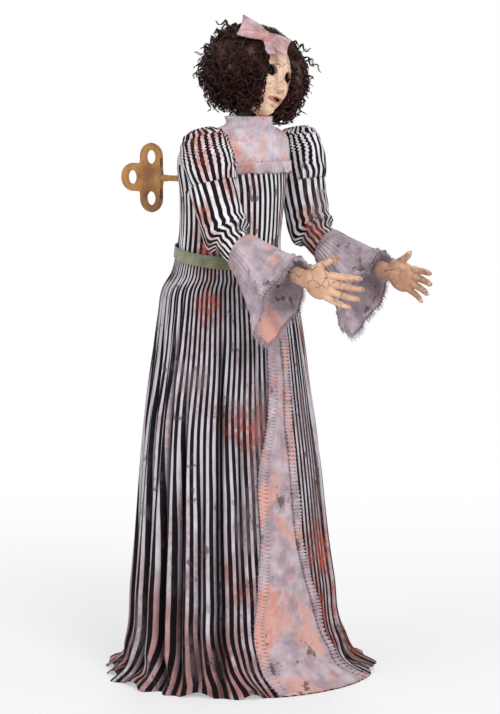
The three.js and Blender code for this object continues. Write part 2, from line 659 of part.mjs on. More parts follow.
// What is cut off each side of the torso where a sleeve begins, and the hole for the arm
const armholeTools = sides.flatMap(([, side]) => {
  const depth = CAP_R;
  const height = 2 * (YOKE_STATIONS.at(-1).z - ARMHOLE_BOTTOM);
  const middle = [side * (ARMHOLE_X + depth / 2), 0, ARMHOLE_BOTTOM + height / 2];
  const slab = box([depth, 2 * height, height], middle);
  const at = (x) => [side * x, BAR_Y + ARMHOLE_R / 4, BAR_Z - SHELL];
  const hole = rod(at(ARMHOLE_X - depth / 2), at(ARMHOLE_X + depth), ARMHOLE_R);
  return [slab, hole];
});

const keyHoleAt = (y) => [0, y, KEY_Z];
const keyHole = rod(keyHoleAt(KEY_BOW_FRONT - SHELL), keyHoleAt(FRAME_BACK_Y + 2 * SHELL), KEY_HOLE_R);

function buildGarments(parent) {
  piece(parent, "bodice", STRIPED_CLOTH, cut(garment(BODICE_STATIONS), keyHole, ...armholeTools));
  piece(parent, "yoke", STAINED_CLOTH, cut(garment(YOKE_STATIONS), ...armholeTools));
  piece(parent, "yoke_ruffle", STAINED_CLOTH, yokeRuffle());
  piece(parent, "belt", RIBBON, belt());
}

// The gathered strip that hangs along the front of the yoke, in waves that grow downwards
function yokeRuffle() {
  const top = BODICE_STATIONS.at(-1).z - SEAT;
  const columns = 2 * YOKE_RUFFLE_GATHERS;
  const margin = Math.acos((ARMHOLE_X - 2 * SHELL) / BODICE_STATIONS.at(-1).a);
  const row = (drop, out) =>
    Array.from({ length: columns + 1 }, (_, j) => {
      const angle = -Math.PI + margin + ((Math.PI - 2 * margin) * j) / columns;
      const wave = ((j % 2) * YOKE_RUFFLE_WAVE * drop) / YOKE_RUFFLE_DROP;
      return torsoPoint(BODICE_STATIONS, angle, top - drop, out + wave);
    });
  const layer = (out) => [0, YOKE_RUFFLE_DROP / 2, YOKE_RUFFLE_DROP].map((drop) => row(drop, out));
  return sheet(layer(CLOTH_GAP + CLOTH), layer(CLOTH_GAP));
}

// The ribbon belt, lower at the front than at the back
function belt() {
  const back = atHeight(BODICE_STATIONS, BELT_BACK_Z).back;
  return loopLoft(
    Array.from({ length: TORSO_COLUMNS }, (_, j) => {
      const angle = (2 * Math.PI * j) / TORSO_COLUMNS;
      const edge = (share, out) => {
        const y = torsoPoint(BODICE_STATIONS, angle, BELT_BACK_Z).y;
        const z = BELT_BACK_Z - (back - y) * Math.tan(BELT_TILT * deg) + share * BELT_WIDTH;
        return torsoPoint(BODICE_STATIONS, angle, z, out);
      };
      const [inner, outer] = [CLOTH_GAP, CLOTH_GAP + CLOTH];
      const inwards = [0.5, 0, -0.5].map((share) => edge(share, inner));
      const outwards = [-0.5, 0, 0.5].map((share) => edge(share, outer));
      return [outwards[2], ...inwards, ...outwards.slice(0, 2)];
    }),
  );
}

// Spine, turntable and shoulder bar
const spineCutter = bentRod(SPINE_ROUTE, SPINE_R + SEAT);

function buildSpine(parent) {
  piece(parent, "spine_rod", STEEL, bentRod(SPINE_ROUTE, SPINE_R));
  const flange = rod([0, 0, WAIST_SPLIT], [0, 0, SPINE_FOOT], TURNTABLE_R, SMOOTH_SIDES);
  const boss = rod([0, 0, WAIST_SPLIT], [0, 0, SPINE_FOOT + 2 * SPINE_R], SPINE_R + 3 * SHELL);
  const shaft = shaftRod([0, 0, WAIST_SPLIT - TURN_SHAFT_LENGTH], [0, 0, SPINE_FOOT], TURN_SHAFT_R);
  const socket = rod([0, 0, SPINE_FOOT - SEAT], [0, 0, SPINE_FOOT + 4 * SPINE_R], SPINE_R + SEAT);
  piece(parent, "waist_turntable", STEEL, cut(join(flange, boss, shaft), socket, spineCutter));
  const barAt = (x) => [x, BAR_Y, BAR_Z];
  piece(parent, "shoulder_bar", STEEL, shaftRod(barAt(-BAR_HALF), barAt(BAR_HALF), BAR_R));
  for (const [word, side] of sides) {
    const at = (x) => [side * x, BAR_Y, BAR_Z];
    const start = ARM_X + EYE_WIDTH / 2 + RUN;
    const cap = rod(at(start), at(BAR_HALF + SEAT + SHELL), EYE_R - SHELL);
    const capBore = shaftRod(at(start - SEAT), at(BAR_HALF + SEAT), BAR_R + SEAT);
    piece(parent, `shoulder_cap_${word}`, STEEL, cut(cap, capBore));
  }
}

// The block that holds the top of the spine, the shoulder bar and the neck's bearing
function buildHeadMotor(parent) {
  const { x, y, z } = HEAD_MOTOR_SIZE;
  const top = NECK_TURN_Z - TURN_GAP;
  const block = box([x, y, z], [0, HEAD_MOTOR_Y, top - z / 2]);
  const barBore = shaftRod([-x, BAR_Y, BAR_Z], [x, BAR_Y, BAR_Z], BAR_R + SEAT);
  const neckAt = (height) => [0, NECK_Y, height];
  const neckBore = bore(neckAt(NECK_SHAFT_BOTTOM - SEAT), neckAt(top + SEAT), NECK_SHAFT_R + RUN);
  piece(parent, "head_motor", GREY_PLASTIC, cut(block, barBore, neckBore, spineCutter));
}

// Chest shells: a moulded form in two halves that meet on the shoulder bar
function buildChest(parent) {
  const stations = [BODICE_STATIONS.at(-2), YOKE_STATIONS[0], ...YOKE_STATIONS.slice(1, 3)]
    .map(({ z, front, back, cy }) => ({
      z: z - SHELL - 2 * CLOTH_GAP,
      front: front + SHELL + CLOTH_GAP,
      back: back - SHELL - CLOTH_GAP,
      cy,
      a: CHEST_HALF,
    }));
  const heights = [CHEST_BOTTOM, stations[1].z, stations[2].z, CHEST_TOP];
  const rings = (out) => heights.map((z) => torsoRing(stations, z, out));
  const shell = loopLoft([...rings(0), ...rings(-CHEST_WALL).toReversed()]);
  const barHole = shaftRod([-BAR_HALF, BAR_Y, BAR_Z], [BAR_HALF, BAR_Y, BAR_Z], BAR_R + SEAT);
  const half = (side) => box([BIG, BIG, BIG], [0, BAR_Y - (side * (BIG - SEAT)) / 2, BAR_Z]);
  piece(parent, "chest_shell_front", BLACK_PLASTIC, cut(shell, barHole, half(-1)));
  piece(parent, "chest_shell_back", BLACK_PLASTIC, cut(shell, barHole, keyHole, half(1)));
}

// Control box with its lid, switch and button, and the speaker on the other side of the spine
function buildControls(torso, switchBody, buttonBody) {
  const { x, y, z } = BOX_SIZE;
  const middle = [0, BOX_FRONT + y / 2, LID_MIDDLE_Z];
  const hollow = box([x - 2 * LID, y, z - 2 * LID], [0, middle[1] + LID, middle[2]]);
  piece(torso, "control_box", BLACK_PLASTIC, cut(box([x, y, z], middle), hollow, spineCutter));
  const plate = box([x, LID, z], [0, LID_INSIDE + LID / 2, LID_MIDDLE_Z]);
  const slotWidth = SWITCH.stem + SWITCH_TRAVEL + 2 * RUN;
  const slot = box(
    [slotWidth, 3 * LID, SWITCH.stem + 2 * RUN],
    [SWITCH.x + SWITCH_TRAVEL / 2, LID_INSIDE + LID / 2, LID_MIDDLE_Z + SWITCH.z / 2],
  );
  const buttonAt = (reach) => [-SWITCH.x, LID_INSIDE + reach, LID_MIDDLE_Z + SWITCH.z / 2];
  const buttonHole = bore(buttonAt(-LID), buttonAt(2 * LID), BUTTON_R + RUN);
  piece(torso, "control_box_lid", GREY_PLASTIC, cut(plate, slot, buttonHole));

  const stemAt = [SWITCH.x, LID_INSIDE + LID / 2, LID_MIDDLE_Z + SWITCH.z / 2];
  const stem = box([SWITCH.stem, LID + 2 * SEAT, SWITCH.stem], stemAt);
  const knob = box(
    [SWITCH.knob / 2, LID, SWITCH.knob],
    [SWITCH.x, LID_INSIDE + LID + SEAT + LID / 2, stemAt[2]],
  );
  piece(switchBody, "mode_switch", RED_PLASTIC, join(stem, knob));

  const press = shaftRod(buttonAt(-SEAT - LID / 2), buttonAt(LID + BUTTON_TRAVEL + SEAT), BUTTON_R);
  const flange = rod(buttonAt(-SEAT - LID), buttonAt(-SEAT), BUTTON_R + LID / 2);
  piece(buttonBody, "test_button", RED_PLASTIC, join(press, flange));

  const speakerAt = (reach) => [0, -SPINE_R / 2 - reach, LID_MIDDLE_Z];
  const [mouth, throat] = [speakerAt(SPEAKER_DEPTH + LID), speakerAt(SPEAKER_DEPTH - LID)];
  const cone = rod(mouth, throat, SPEAKER_R - 2 * LID, PLAIN_SIDES, SPEAKER_R / 2);
  const drum = rod(speakerAt(0), speakerAt(SPEAKER_DEPTH), SPEAKER_R);
  piece(torso, "speaker", GREY_PLASTIC, cut(drum, cone, spineCutter));
}

// Wind-up key and the gear pair that turns it
function gear(teeth, centre, phase, boreR) {
  const pitch = (GEAR_MODULE * teeth) / 2;
  const [root, tip] = [pitch - TOOTH.below * GEAR_MODULE, pitch + TOOTH.above * GEAR_MODULE];
  const levels = [[-TOOTH.wide, root], [-TOOTH.narrow, tip], [TOOTH.narrow, tip], [TOOTH.wide, root]];
  const outline = new THREE.Shape(
    Array.from({ length: teeth }, (_, t) =>
      levels.map(([share, r]) => {
        const angle = (2 * Math.PI * (t + share)) / teeth + phase;
        return new THREE.Vector2(r * Math.cos(angle), r * Math.sin(angle));
      }),
    ).flat(),
  );
  const blank = new THREE.ExtrudeGeometry(outline, { depth: GEAR_WIDTH, bevelEnabled: false });
  blank.rotateX(90 * deg).translate(centre[0], centre[1] + GEAR_WIDTH / 2, centre[2]);
  if (!boreR) return solid(blank);
  const at = (reach) => [centre[0], centre[1] + reach, centre[2]];
  return cut(solid(blank), shaftRod(at(-GEAR_WIDTH), at(GEAR_WIDTH), boreR));
}

// The bow: an upright bar with round ends and a third lobe behind it, each with a round hole
function keyBow() {
  const upright = KEY_BOW_FRONT + BOW_LOBE_R;
  const rear = KEY_BOW_BACK - BOW_LOBE_R;
  const across = (y, z, r, thick = KEY_PLATE) =>
    rod([-thick / 2, y, z], [thick / 2, y, z], r, SMOOTH_SIDES);
  const ends = [KEY_Z - LOBE_SPACING / 2, KEY_Z + LOBE_SPACING / 2];
  const body = join(
    ...ends.map((z) => across(upright, z, BOW_LOBE_R)),
    across(rear, KEY_Z, BOW_LOBE_R),
    box([KEY_PLATE, 2 * BOW_LOBE_R, LOBE_SPACING], [0, upright, KEY_Z]),
    box([KEY_PLATE, rear - upright, 2 * BOW_LOBE_R], [0, (upright + rear) / 2, KEY_Z]),
  );
  const holes = [...ends.map((z) => [upright, z]), [rear, KEY_Z]].map(([y, z]) =>
    across(y, z, LOBE_HOLE_R, 2 * KEY_PLATE),
  );
  const socket = rod(
    [0, KEY_BOW_FRONT - SEAT, KEY_Z], [0, KEY_BOW_FRONT + KEY_SOCKET, KEY_Z], KEY_TANG_R + SEAT,
  );
  return cut(body, ...holes, socket);
}

function buildKey(keyBody, pinionBody) {
  const at = (y) => [0, y, KEY_Z];
  const shaft = join(
    shaftRod(at(KEY_SHAFT_FRONT), at(KEY_BOW_FRONT - SEAT), KEY_SHAFT_R),
    rod(at(GEAR_Y), at(KEY_BOW_FRONT + KEY_SOCKET - SEAT), KEY_TANG_R),
  );
  piece(keyBody, "key_shaft", GOLD_PAINT, shaft);
  piece(keyBody, "key_bow", GOLD_PAINT, keyBow());
  piece(keyBody, "key_gear", BRASS, gear(GEAR_TEETH, at(GEAR_Y), 0, KEY_SHAFT_R + SEAT));
  const gapToGear = Math.PI - Math.PI / PINION_TEETH; // a gap of the pinion faces the gear's tooth
  const beside = (y) => [GEAR_DISTANCE, y, KEY_Z];
  const [axleFront, axleBack] = [FRAME_FRONT_Y - FRAME_PLATE, FRAME_BACK_Y + FRAME_PLATE];
  const axle = shaftRod(beside(axleFront), beside(axleBack), PINION_SHAFT_R);
  const pinion = gear(PINION_TEETH, beside(GEAR_Y), gapToGear, 0);
  piece(pinionBody, "key_pinion", BRASS, join(pinion, axle));
}

// The key frame: two plates on webs, with a saddle that sits on the spine
function buildKeyFrame(parent) {
  const plate = (y) => box([FRAME_WIDTH, FRAME_PLATE, FRAME_HEIGHT], [0, y + FRAME_PLATE / 2, KEY_Z]);
  const depth = FRAME_BACK_Y - FRAME_FRONT_Y;
  const webRise = (FRAME_HEIGHT - FRAME_PLATE) / 2;
  const web = (side) =>
    box([FRAME_WIDTH, depth, FRAME_PLATE], [0, FRAME_FRONT_Y + depth / 2, KEY_Z + side * webRise]);
  const saddleY = FRAME_FRONT_Y - SADDLE.deep / 2 + SEAT;
  const saddle = box([3 * SPINE_R, SADDLE.deep, SADDLE.high], [0, saddleY, KEY_Z]);
  const behind = FRAME_BACK_Y + 2 * FRAME_PLATE;
  const shaftBore = bore([0, KEY_SHAFT_FRONT - SEAT, KEY_Z], [0, behind, KEY_Z], KEY_SHAFT_R + RUN);
  const axleAt = (y) => [GEAR_DISTANCE, y, KEY_Z];
  const pinionBore = bore(axleAt(FRAME_FRONT_Y - FRAME_PLATE), axleAt(behind), PINION_SHAFT_R + RUN);
  const frame = join(plate(FRAME_FRONT_Y), plate(FRAME_BACK_Y), web(-1), web(1), saddle);
  piece(parent, "key_frame", STEEL, cut(frame, shaftBore, pinionBore, spineCutter));
  const back = FRAME_FRONT_Y - SEAT;
  const motor = rod(axleAt(back - KEY_MOTOR_LENGTH), axleAt(back), KEY_MOTOR_R);
  const socketFront = FRAME_FRONT_Y - 2 * FRAME_PLATE;
  const motorBore = bore(axleAt(socketFront), axleAt(FRAME_FRONT_Y), PINION_SHAFT_R + RUN);
  piece(parent, "key_motor", STEEL, cut(motor, motorBore));
}

// Neck bracket: turns on the head motor and holds the tilt pin, pressed into its two ears
function buildNeck(parent) {
  const at = (z) => [0, NECK_Y, z];
  const lobe = (y) => rod([0, y, TILT_Z], [0, y + EAR.wall, TILT_Z], EAR.half);
  const ears = [NECK_Y - EAR.gap - EAR.wall, NECK_Y + EAR.gap].map((y) =>
    join(lobe(y), box([2 * EAR.half, EAR.wall, 2 * EAR.half], [0, y + EAR.wall / 2, TILT_Z - EAR.half])),
  );
  const postTop = TILT_Z - 2 * EAR.half;
  const bracket = join(
    shaftRod(at(NECK_SHAFT_BOTTOM), at(NECK_TURN_Z + SHELL), NECK_SHAFT_R),
    rod(at(NECK_TURN_Z), at(postTop), NECK_R), ...ears,
  );
  const pinFrom = [0, NECK_Y - EAR.gap - EAR.wall - SEAT, TILT_Z];
  const pinTo = [0, NECK_Y + EAR.gap + EAR.wall + SEAT, TILT_Z];
  piece(parent, "neck_bracket", BLACK_PLASTIC, join(bracket, shaftRod(pinFrom, pinTo, TILT_PIN_R)));
}

// An egg narrower towards its lower end, as a doll's head is
function egg(inward, around = 16, down = 10) {
  const geometry = new THREE.SphereGeometry(1, around, down).rotateX(90 * deg);
  const points = geometry.attributes.position;
  for (let i = 0; i < points.count; i++) {
    const low = Math.max(0, -points.getZ(i));
    points.setX(i, points.getX(i) * (1 - JAW_TAPER * low ** 2));
  }
  geometry.scale(FACE.x - inward, FACE.y - inward, FACE.z - inward);
  return solid(geometry.translate(0, FACE_CENTRE.y, FACE_CENTRE.z));
}

// Head, in its own frame: upright, with its origin on the tilt pin
function buildHead(head) {
  const before = (y) => box([BIG, BIG, BIG], [0, y - BIG / 2, FACE_CENTRE.z]);
  const beyond = (y) => box([BIG, BIG, BIG], [0, y + BIG / 2, FACE_CENTRE.z]);
  const under = (z) => box([BIG, BIG, BIG], [0, 0, z - BIG / 2]);
  const skullIn = FACE_WALL + SEAT;
  const bowl = cut(
    egg(skullIn), before(SKULL_FRONT), under(SKULL_FLOOR),
    cut(egg(skullIn + SHELL), before(SKULL_FRONT + SHELL), under(SKULL_FLOOR + SHELL)),
  );
  const opening = rod([0, 0, FACE_CENTRE.z], [0, BIG, FACE_CENTRE.z], SKULL_PORT_R);
  const lugHeight = SKULL_FLOOR + SHELL;
  const lug = join(
    box([2 * EAR.half, 2 * (EAR.gap - RUN), lugHeight], [0, 0, lugHeight / 2]),
    rod([0, RUN - EAR.gap, 0], [0, EAR.gap - RUN, 0], EAR.half),
  );
  const pinBore = bore([0, -EAR.gap - RUN, 0], [0, EAR.gap + RUN, 0], TILT_PIN_R + RUN);
  piece(head, "skull_shell", BLACK_PLASTIC, cut(join(cut(bowl, opening), lug), pinBore));

  const leans = [HEAD_TILT_REST + TILT_FURTHER, HEAD_TILT_REST / 2, TILT_BACK];
  const neckSweep = leans.map((lean) => {
    const reach = 4 * NECK_R;
    const angle = -lean * deg;
    return rod([0, 0, 0], [-reach * Math.sin(angle), 0, -reach * Math.cos(angle)], NECK_R + NECK_CLEAR);
  });
  const nose = ball([NOSE.x, NOSE.depth, NOSE.high], [0, NOSE.y, NOSE.z], 8, 6);
  const lips = ball([LIPS.half, LIPS.depth, LIPS.high], [0, LIPS.y, MOUTH.z], 10, 6);
  const chin = ball([CHIN.x, CHIN.y, CHIN.z], [0, CHIN.forward, CHIN.up], 10, 7);
  const oval = (half, high, depth, x, y, z) => {
    const geometry = new THREE.CylinderGeometry(1, 1, depth, SMOOTH_SIDES).scale(half, 1, high);
    return solid(geometry.translate(x, y, z));
  };
  const eyeHoles = [-1, 1].map((side) => oval(EYE.rx, EYE.rz, FACE.y, side * EYE.x, -FACE.y, EYE.z));
  const mouth = oval(MOUTH.rx, MOUTH.rz, FACE.y, 0, -FACE.y, MOUTH.z);
  const mask = join(egg(0), nose, lips, chin);
  const openings = [beyond(FACE_CENTRE.y - SEAT), ...eyeHoles, mouth, ...neckSweep];
  piece(head, "face_mask", DOLL_SKIN, cut(mask, egg(FACE_WALL), ...openings));

  const inside = egg(FACE_WALL + 2 * SEAT);
  const socketBlock = (size, z, front) =>
    box([size.x, SKULL_FRONT - SEAT - front, size.z], [0, (front + SKULL_FRONT - SEAT) / 2, z]);
  const backing = socketBlock(EYE_BACKING, EYE.z, EYE_BACKING.front);
  piece(head, "eye_backing", VOID_BLACK, inside.intersect(backing));
  const gums = socketBlock(GUMS, MOUTH.z + (MOUTH.rz + GUMS.lift) / 2, -FACE.y);
  piece(head, "teeth", TEETH_WHITE, inside.intersect(gums));
  buildWig(head);
}

// The wig: a full, lumpy mop with its cap's hollow inside and an opening round the face
function buildWig(head) {
  const mop = new THREE.SphereGeometry(1, 18, 12).rotateX(90 * deg);
  const points = mop.attributes.position;
  for (let i = 0; i < points.count; i++) {
    const p = vec(points.getX(i), points.getY(i), points.getZ(i));
    const turn = Math.atan2(p.y, p.x);
    const rise = Math.asin(THREE.MathUtils.clamp(p.z, -1, 1));
    const lumps = Math.sin(4 * turn) * Math.sin(5 * rise) * Math.cos(rise);
    p.multiplyScalar(1 + CURL_LUMP * (lumps - LUMP_SINK));
    points.setXYZ(i, p.x, p.y, p.z);
  }
  mop.scale(WIG.x, WIG.y, WIG.z).translate(WIG_CENTRE.x, WIG_CENTRE.y, WIG_CENTRE.z);
  const window = new THREE.CylinderGeometry(1, 1, 2 * FACE.y, SMOOTH_SIDES);
  window.scale(WINDOW.rx, 1, WINDOW.rz).translate(0, FACE_CENTRE.y - FACE.y, WINDOW.z);
  const neckRoom = ball(Array(3).fill(NECK_ROOM_R), [0, 0, -NECK_ROOM_DROP]);
  piece(head, "wig", HAIR, cut(solid(mop), egg(-WIG_GAP), solid(window), neckRoom, hairBow(SEAT)));
  piece(head, "hair_bow", STAINED_CLOTH, hairBow(0));
}

// Two flat loops that widen from a knot, and a tail that hangs over the forehead
function hairBow(grow) {
  const loop = (side) => {
    const ring = (share) =>
      Array.from({ length: 8 }, (_, j) => {
        const angle = (2 * Math.PI * j) / 8;
        const wide = BOW.waist + (1 - BOW.waist) * Math.sqrt(share);
        const thick = BOW.thick * (BOW.flat + (1 - BOW.flat) * Math.sin(Math.PI * Math.min(share, 0.9)));
        const reach = side * (BOW.loop + grow) * share;
        return vec(reach, (thick + grow) * Math.sin(angle), (BOW.high * wide + grow) * Math.cos(angle));
      });
    return loft([0, 0.3, 0.65, 0.9, 1].map(ring));
  };
  const tailSize = BOW_TAIL.size.map((length) => length + 2 * grow);
  const tail = box(tailSize, BOW_TAIL.middle, BOW_TAIL.turn);
  const bow = join(loop(-1), loop(1), ball(Array(3).fill(BOW.knot + grow), [0, 0, 0], 8, 6), tail);
  return bow.rotate([BOW.lean, BOW.roll, BOW.yaw]).translate([BOW.x, BOW.y, BOW.z]);
}

// Arms: each link is modelled hanging straight down from its own joint, with the doll's front
// at -Y, and its group is turned to the pose in which the arm is held
const tubeRings = (stations, inward) =>
  stations.map(({ z, r, y = 0 }) =>
    Array.from({ length: SLEEVE_SIDES }, (_, j) => {
      const angle = (2 * Math.PI * j) / SLEEVE_SIDES;
      return vec((r - inward) * Math.cos(angle), y + (r - inward) * Math.sin(angle), z);
    }),
  );

// A point at a distance from the elbow, at an angle forward of straight up
const fromElbow = (radius, angle) =>
  [0, -radius * Math.sin(angle * deg), -UPPER_LENGTH + radius * Math.cos(angle * deg)];

function upperSleeve(side, bend) {
  const outside = loft(tubeRings(UPPER_SLEEVE, 0));
  const lowered = UPPER_SLEEVE.map(({ z, r }) => ({ z: z - SHELL, r }));
  const inside = loft(tubeRings(lowered, SHELL));
  const torsoSide = ARM_X - ARMHOLE_X - SEAT;
  const slab = box([CAP_R, 4 * CAP_R, 4 * CAP_R], [-side * (torsoSide + CAP_R / 2), 0, 0]);
  const spread = Math.asin(FOREARM_SLEEVE_R / ELBOW_BALL_R) / deg;
  const frontRim = fromElbow(SLEEVE_R, 180 - bend - ELBOW_FLEX - spread - SOCKET_MARGIN);
  const backRim = fromElbow(SLEEVE_R, -90);
  const slope = Math.atan2(backRim[2] - frontRim[2], backRim[1] - frontRim[1]) / deg;
  const down = [0, Math.sin(slope * deg), -Math.cos(slope * deg)];
  const middle = down.map((way, axis) => (frontRim[axis] + backRim[axis] + way * BIG) / 2);
  return cut(outside, inside, slab, box([BIG, BIG, BIG], middle, [slope, 0, 0]));
}

function buildUpperArm(group, word, side, bend) {
  const across = (x0, x1, z, r, n = PLAIN_SIDES) => rod([x0, 0, z], [x1, 0, z], r, n);
  const eye = across(-EYE_WIDTH / 2, EYE_WIDTH / 2, 0, EYE_R);
  const lowerEye = across(-SEAT - ELBOW_EYE_WIDTH, -SEAT, -UPPER_LENGTH, ELBOW_EYE_R);
  const bar = rod([0, 0, -EYE_R / 2], [0, 0, -UPPER_LENGTH + 2 * ELBOW_EYE_R], ROD_R);
  const tongueLength = 2 * ELBOW_EYE_R + ROD_R;
  const tongue = box(
    [ELBOW_EYE_WIDTH, 2 * ROD_R, tongueLength],
    [-SEAT - ELBOW_EYE_WIDTH / 2, 0, -UPPER_LENGTH + tongueLength / 2],
  );
  const plugR = SLEEVE_R - SHELL - 2 * SEAT;
  const plug = rod([0, 0, UPPER_PLUG_Z], [0, 0, UPPER_PLUG_Z + PLUG_WIDTH], plugR, SLEEVE_SIDES);
  const shoulderBore = bore([-EYE_WIDTH, 0, 0], [EYE_WIDTH, 0, 0], BAR_R + RUN);
  const boltAt = (x) => [x, 0, -UPPER_LENGTH];
  const boltBore = shaftRod(boltAt(-EYE_WIDTH), boltAt(EYE_WIDTH), ELBOW_BOLT_R + SEAT);
  const arm = join(eye, lowerEye, bar, tongue, plug);
  piece(group, `upper_arm_rod_${word}`, STEEL, cut(arm, shoulderBore, boltBore));
  piece(group, `sleeve_upper_${word}`, STRIPED_CLOTH, upperSleeve(side, bend));
  const reach = 2 * SEAT + ELBOW_EYE_WIDTH;
  const bolt = join(
    across(-reach, reach, -UPPER_LENGTH, ELBOW_BOLT_R, BEARING_SIDES),
    across(-reach - BOLT_HEAD, -reach, -UPPER_LENGTH, BOLT_HEAD_R),
    across(reach, reach + BOLT_HEAD, -UPPER_LENGTH, BOLT_HEAD_R),
  );
  piece(group, `elbow_bolt_${word}`, STEEL, bolt);
}

// Cuff: a bell that hangs from a seam round the forearm, wavier towards its mouth
function cuffRing(share, inward) {
  const seamR = FOREARM_SLEEVE_R + CLOTH_GAP + CLOTH + CUFF_SEAM_DROP;
  const seamY = SLEEVE_SAG + CUFF_SEAM_DROP;
  const ease = share ** CUFF_EASE;
  const mix = (from, to) => from + (to - from) * ease;
  return Array.from({ length: CUFF_COLUMNS }, (_, j) => {
    const angle = (2 * Math.PI * j) / CUFF_COLUMNS;
    const out = CUFF_WAVE * share ** 2 * Math.sin(CUFF_WAVES * angle) - inward;
    const [c, s] = [Math.cos(angle), Math.sin(angle)];
    const y = mix(seamY, CUFF_MOUTH.y) + (mix(seamR, CUFF_MOUTH.ry) + out) * s;
    const lean = (CUFF_LIP_LEAN * share * (1 + s)) / 2;
    const z = -CUFF_START - (CUFF_REACH - CUFF_START) * share + lean;
    return vec((mix(seamR, CUFF_HALF_WIDTH) + out) * c, y, z);
  });
}

function buildForearm(group, word) {
  const across = (x0, x1, z, r, n = PLAIN_SIDES) => rod([x0, 0, z], [x1, 0, z], r, n);
  const eye = across(SEAT, SEAT + ELBOW_EYE_WIDTH, 0, ELBOW_EYE_R);
  const tongueLength = 2 * ELBOW_EYE_R + ROD_R;
  const tongue = box(
    [ELBOW_EYE_WIDTH, 2 * ROD_R, tongueLength],
    [SEAT + ELBOW_EYE_WIDTH / 2, 0, -tongueLength / 2],
  );
  const wristSeat = -FOREARM_LENGTH + WRIST_CONE + SEAT;
  const bar = rod([0, 0, -2 * ELBOW_EYE_R], [0, 0, wristSeat], ROD_R);
  const wristAt = (z) => [0, 0, wristSeat + z];
  const bearing = rod(wristAt(0), wristAt(SWIVEL_PIN_LENGTH + ROD_R), 2 * SWIVEL_PIN_R + SEAT);
  const plugAt = (z) => [0, SLEEVE_SAG, FOREARM_PLUG_Z + z];
  const plug = rod(plugAt(0), plugAt(PLUG_WIDTH), FOREARM_SLEEVE_R - SHELL - 2 * SEAT, SLEEVE_SIDES);
  const boltBore = bore([-EYE_WIDTH, 0, 0], [EYE_WIDTH, 0, 0], ELBOW_BOLT_R + RUN);
  const pinBore = bore(wristAt(-SEAT), wristAt(SWIVEL_PIN_LENGTH), SWIVEL_PIN_R + RUN);
  piece(group, `forearm_rod_${word}`, STEEL, cut(join(eye, tongue, bar, bearing, plug), boltBore, pinBore));
  buildLowerSleeve(group, word);
  const shares = [0, 0.35, 0.7, 1];
  const outside = shares.map((share) => cuffRing(share, 0));
  const inside = shares.toReversed().map((share) => cuffRing(share, CLOTH));
  piece(group, `cuff_${word}`, STAINED_CLOTH, loopLoft([...outside, ...inside]));
}

// Lower sleeve: a round elbow inside the upper sleeve, and a fitted tube down to the cuff
function buildLowerSleeve(group, word) {
  const form = (inward, extra) => {
    const radius = ELBOW_BALL_R - inward;
    const levels = [0.96, 0.7, 0, -0.6].map((share) => share * radius);
    const round = levels.map((z) => ({ z, r: Math.sqrt(radius ** 2 - z ** 2) }));
    const ends = [FOREARM_PLUG_Z + PLUG_WIDTH + SEAT, -SLEEVE_END - extra];
    const tube = ends.map((z) => ({ z, r: FOREARM_SLEEVE_R - inward, y: SLEEVE_SAG }));
    return loft(tubeRings([...round, ...tube], 0));
  };
  const bend = BEND - UPPER_ANGLE[word];
  const slots = [-ELBOW_FLEX, -ELBOW_FLEX / 2, ELBOW_EASE].map((flex) => {
    const angle = (bend - flex) * deg;
    const reach = 2 * ELBOW_BALL_R;
    return rod([0, 0, 0], [0, -reach * Math.sin(angle), reach * Math.cos(angle)], 2 * ROD_R);
  });
  piece(group, `sleeve_lower_${word}`, STRIPED_CLOTH, cut(form(0, 0), form(SHELL, SEAT), ...slots));
}

// Hand: palm, four slightly spread fingers and a thumb, mirrored for the left
function finger({ y, r, length, spread }, z, side) {
  const points = [vec(0, y, z)];
  const [aside, along] = [Math.sin(spread * deg), Math.cos(spread * deg)];
  for (const share of BONE_SHARES) {
    const curl = points.length * CURL * deg;
    const way = vec(-side * Math.sin(curl), aside, -along * Math.cos(curl));
    points.push(points.at(-1).clone().addScaledVector(way, share * length));
  }
  const width = (k) => r * (1 - FINGER_TAPER * k);
  const onwards = points[3].clone().sub(points[2]).normalize();
  const tip = points.at(-1).clone().addScaledVector(onwards, 0.6 * width(3));
  const stations = [...points.map((p, k) => [p, width(k)]), [tip, 0.55 * width(3)]];
  const ring = ([p, wide]) =>
    Array.from({ length: FINGER_SIDES }, (_, j) => {
      const angle = (2 * Math.PI * j) / FINGER_SIDES;
      const [c, s] = [wide * Math.cos(angle), wide * Math.sin(angle)];
      return vec(p.x + c, p.y + s * along, p.z - s * aside);
    });
  return loft(stations.map(ring));
}

function hand(side) {
  const lean = (FOREARM_DROP - HAND_DROP) * deg;
  const alongForearm = (reach) => [0, -reach * Math.sin(lean), reach * Math.cos(lean)];
  const heel = -PALM.from - PALM.overlap;
  const wrist = join(
    rod([0, 0, 0], [0, 0, heel], WRIST_R, BEARING_SIDES, WRIST_R + WRIST_FLARE).scale(WRIST_SCALE),
    rod(alongForearm(-WRIST_CONE), alongForearm(WRIST_CONE), WRIST_R).scale(WRIST_SCALE),
  );
  const palmHalf = (PALM.to - PALM.from) / 2 + PALM.overlap;
  const palm = ball([PALM.thick, PALM.half, palmHalf], [0, 0, -(PALM.from + PALM.to) / 2], 10, 7);
  const fingers = FINGERS.map((one) => finger(one, -PALM.to + 6, side));
  const thumb = finger(THUMB, THUMB.z, side);
  const pin = shaftRod([0, 0, 0], alongForearm(SWIVEL_PIN_LENGTH), SWIVEL_PIN_R);
  return join(wrist, palm, ...fingers, thumb, pin);
}

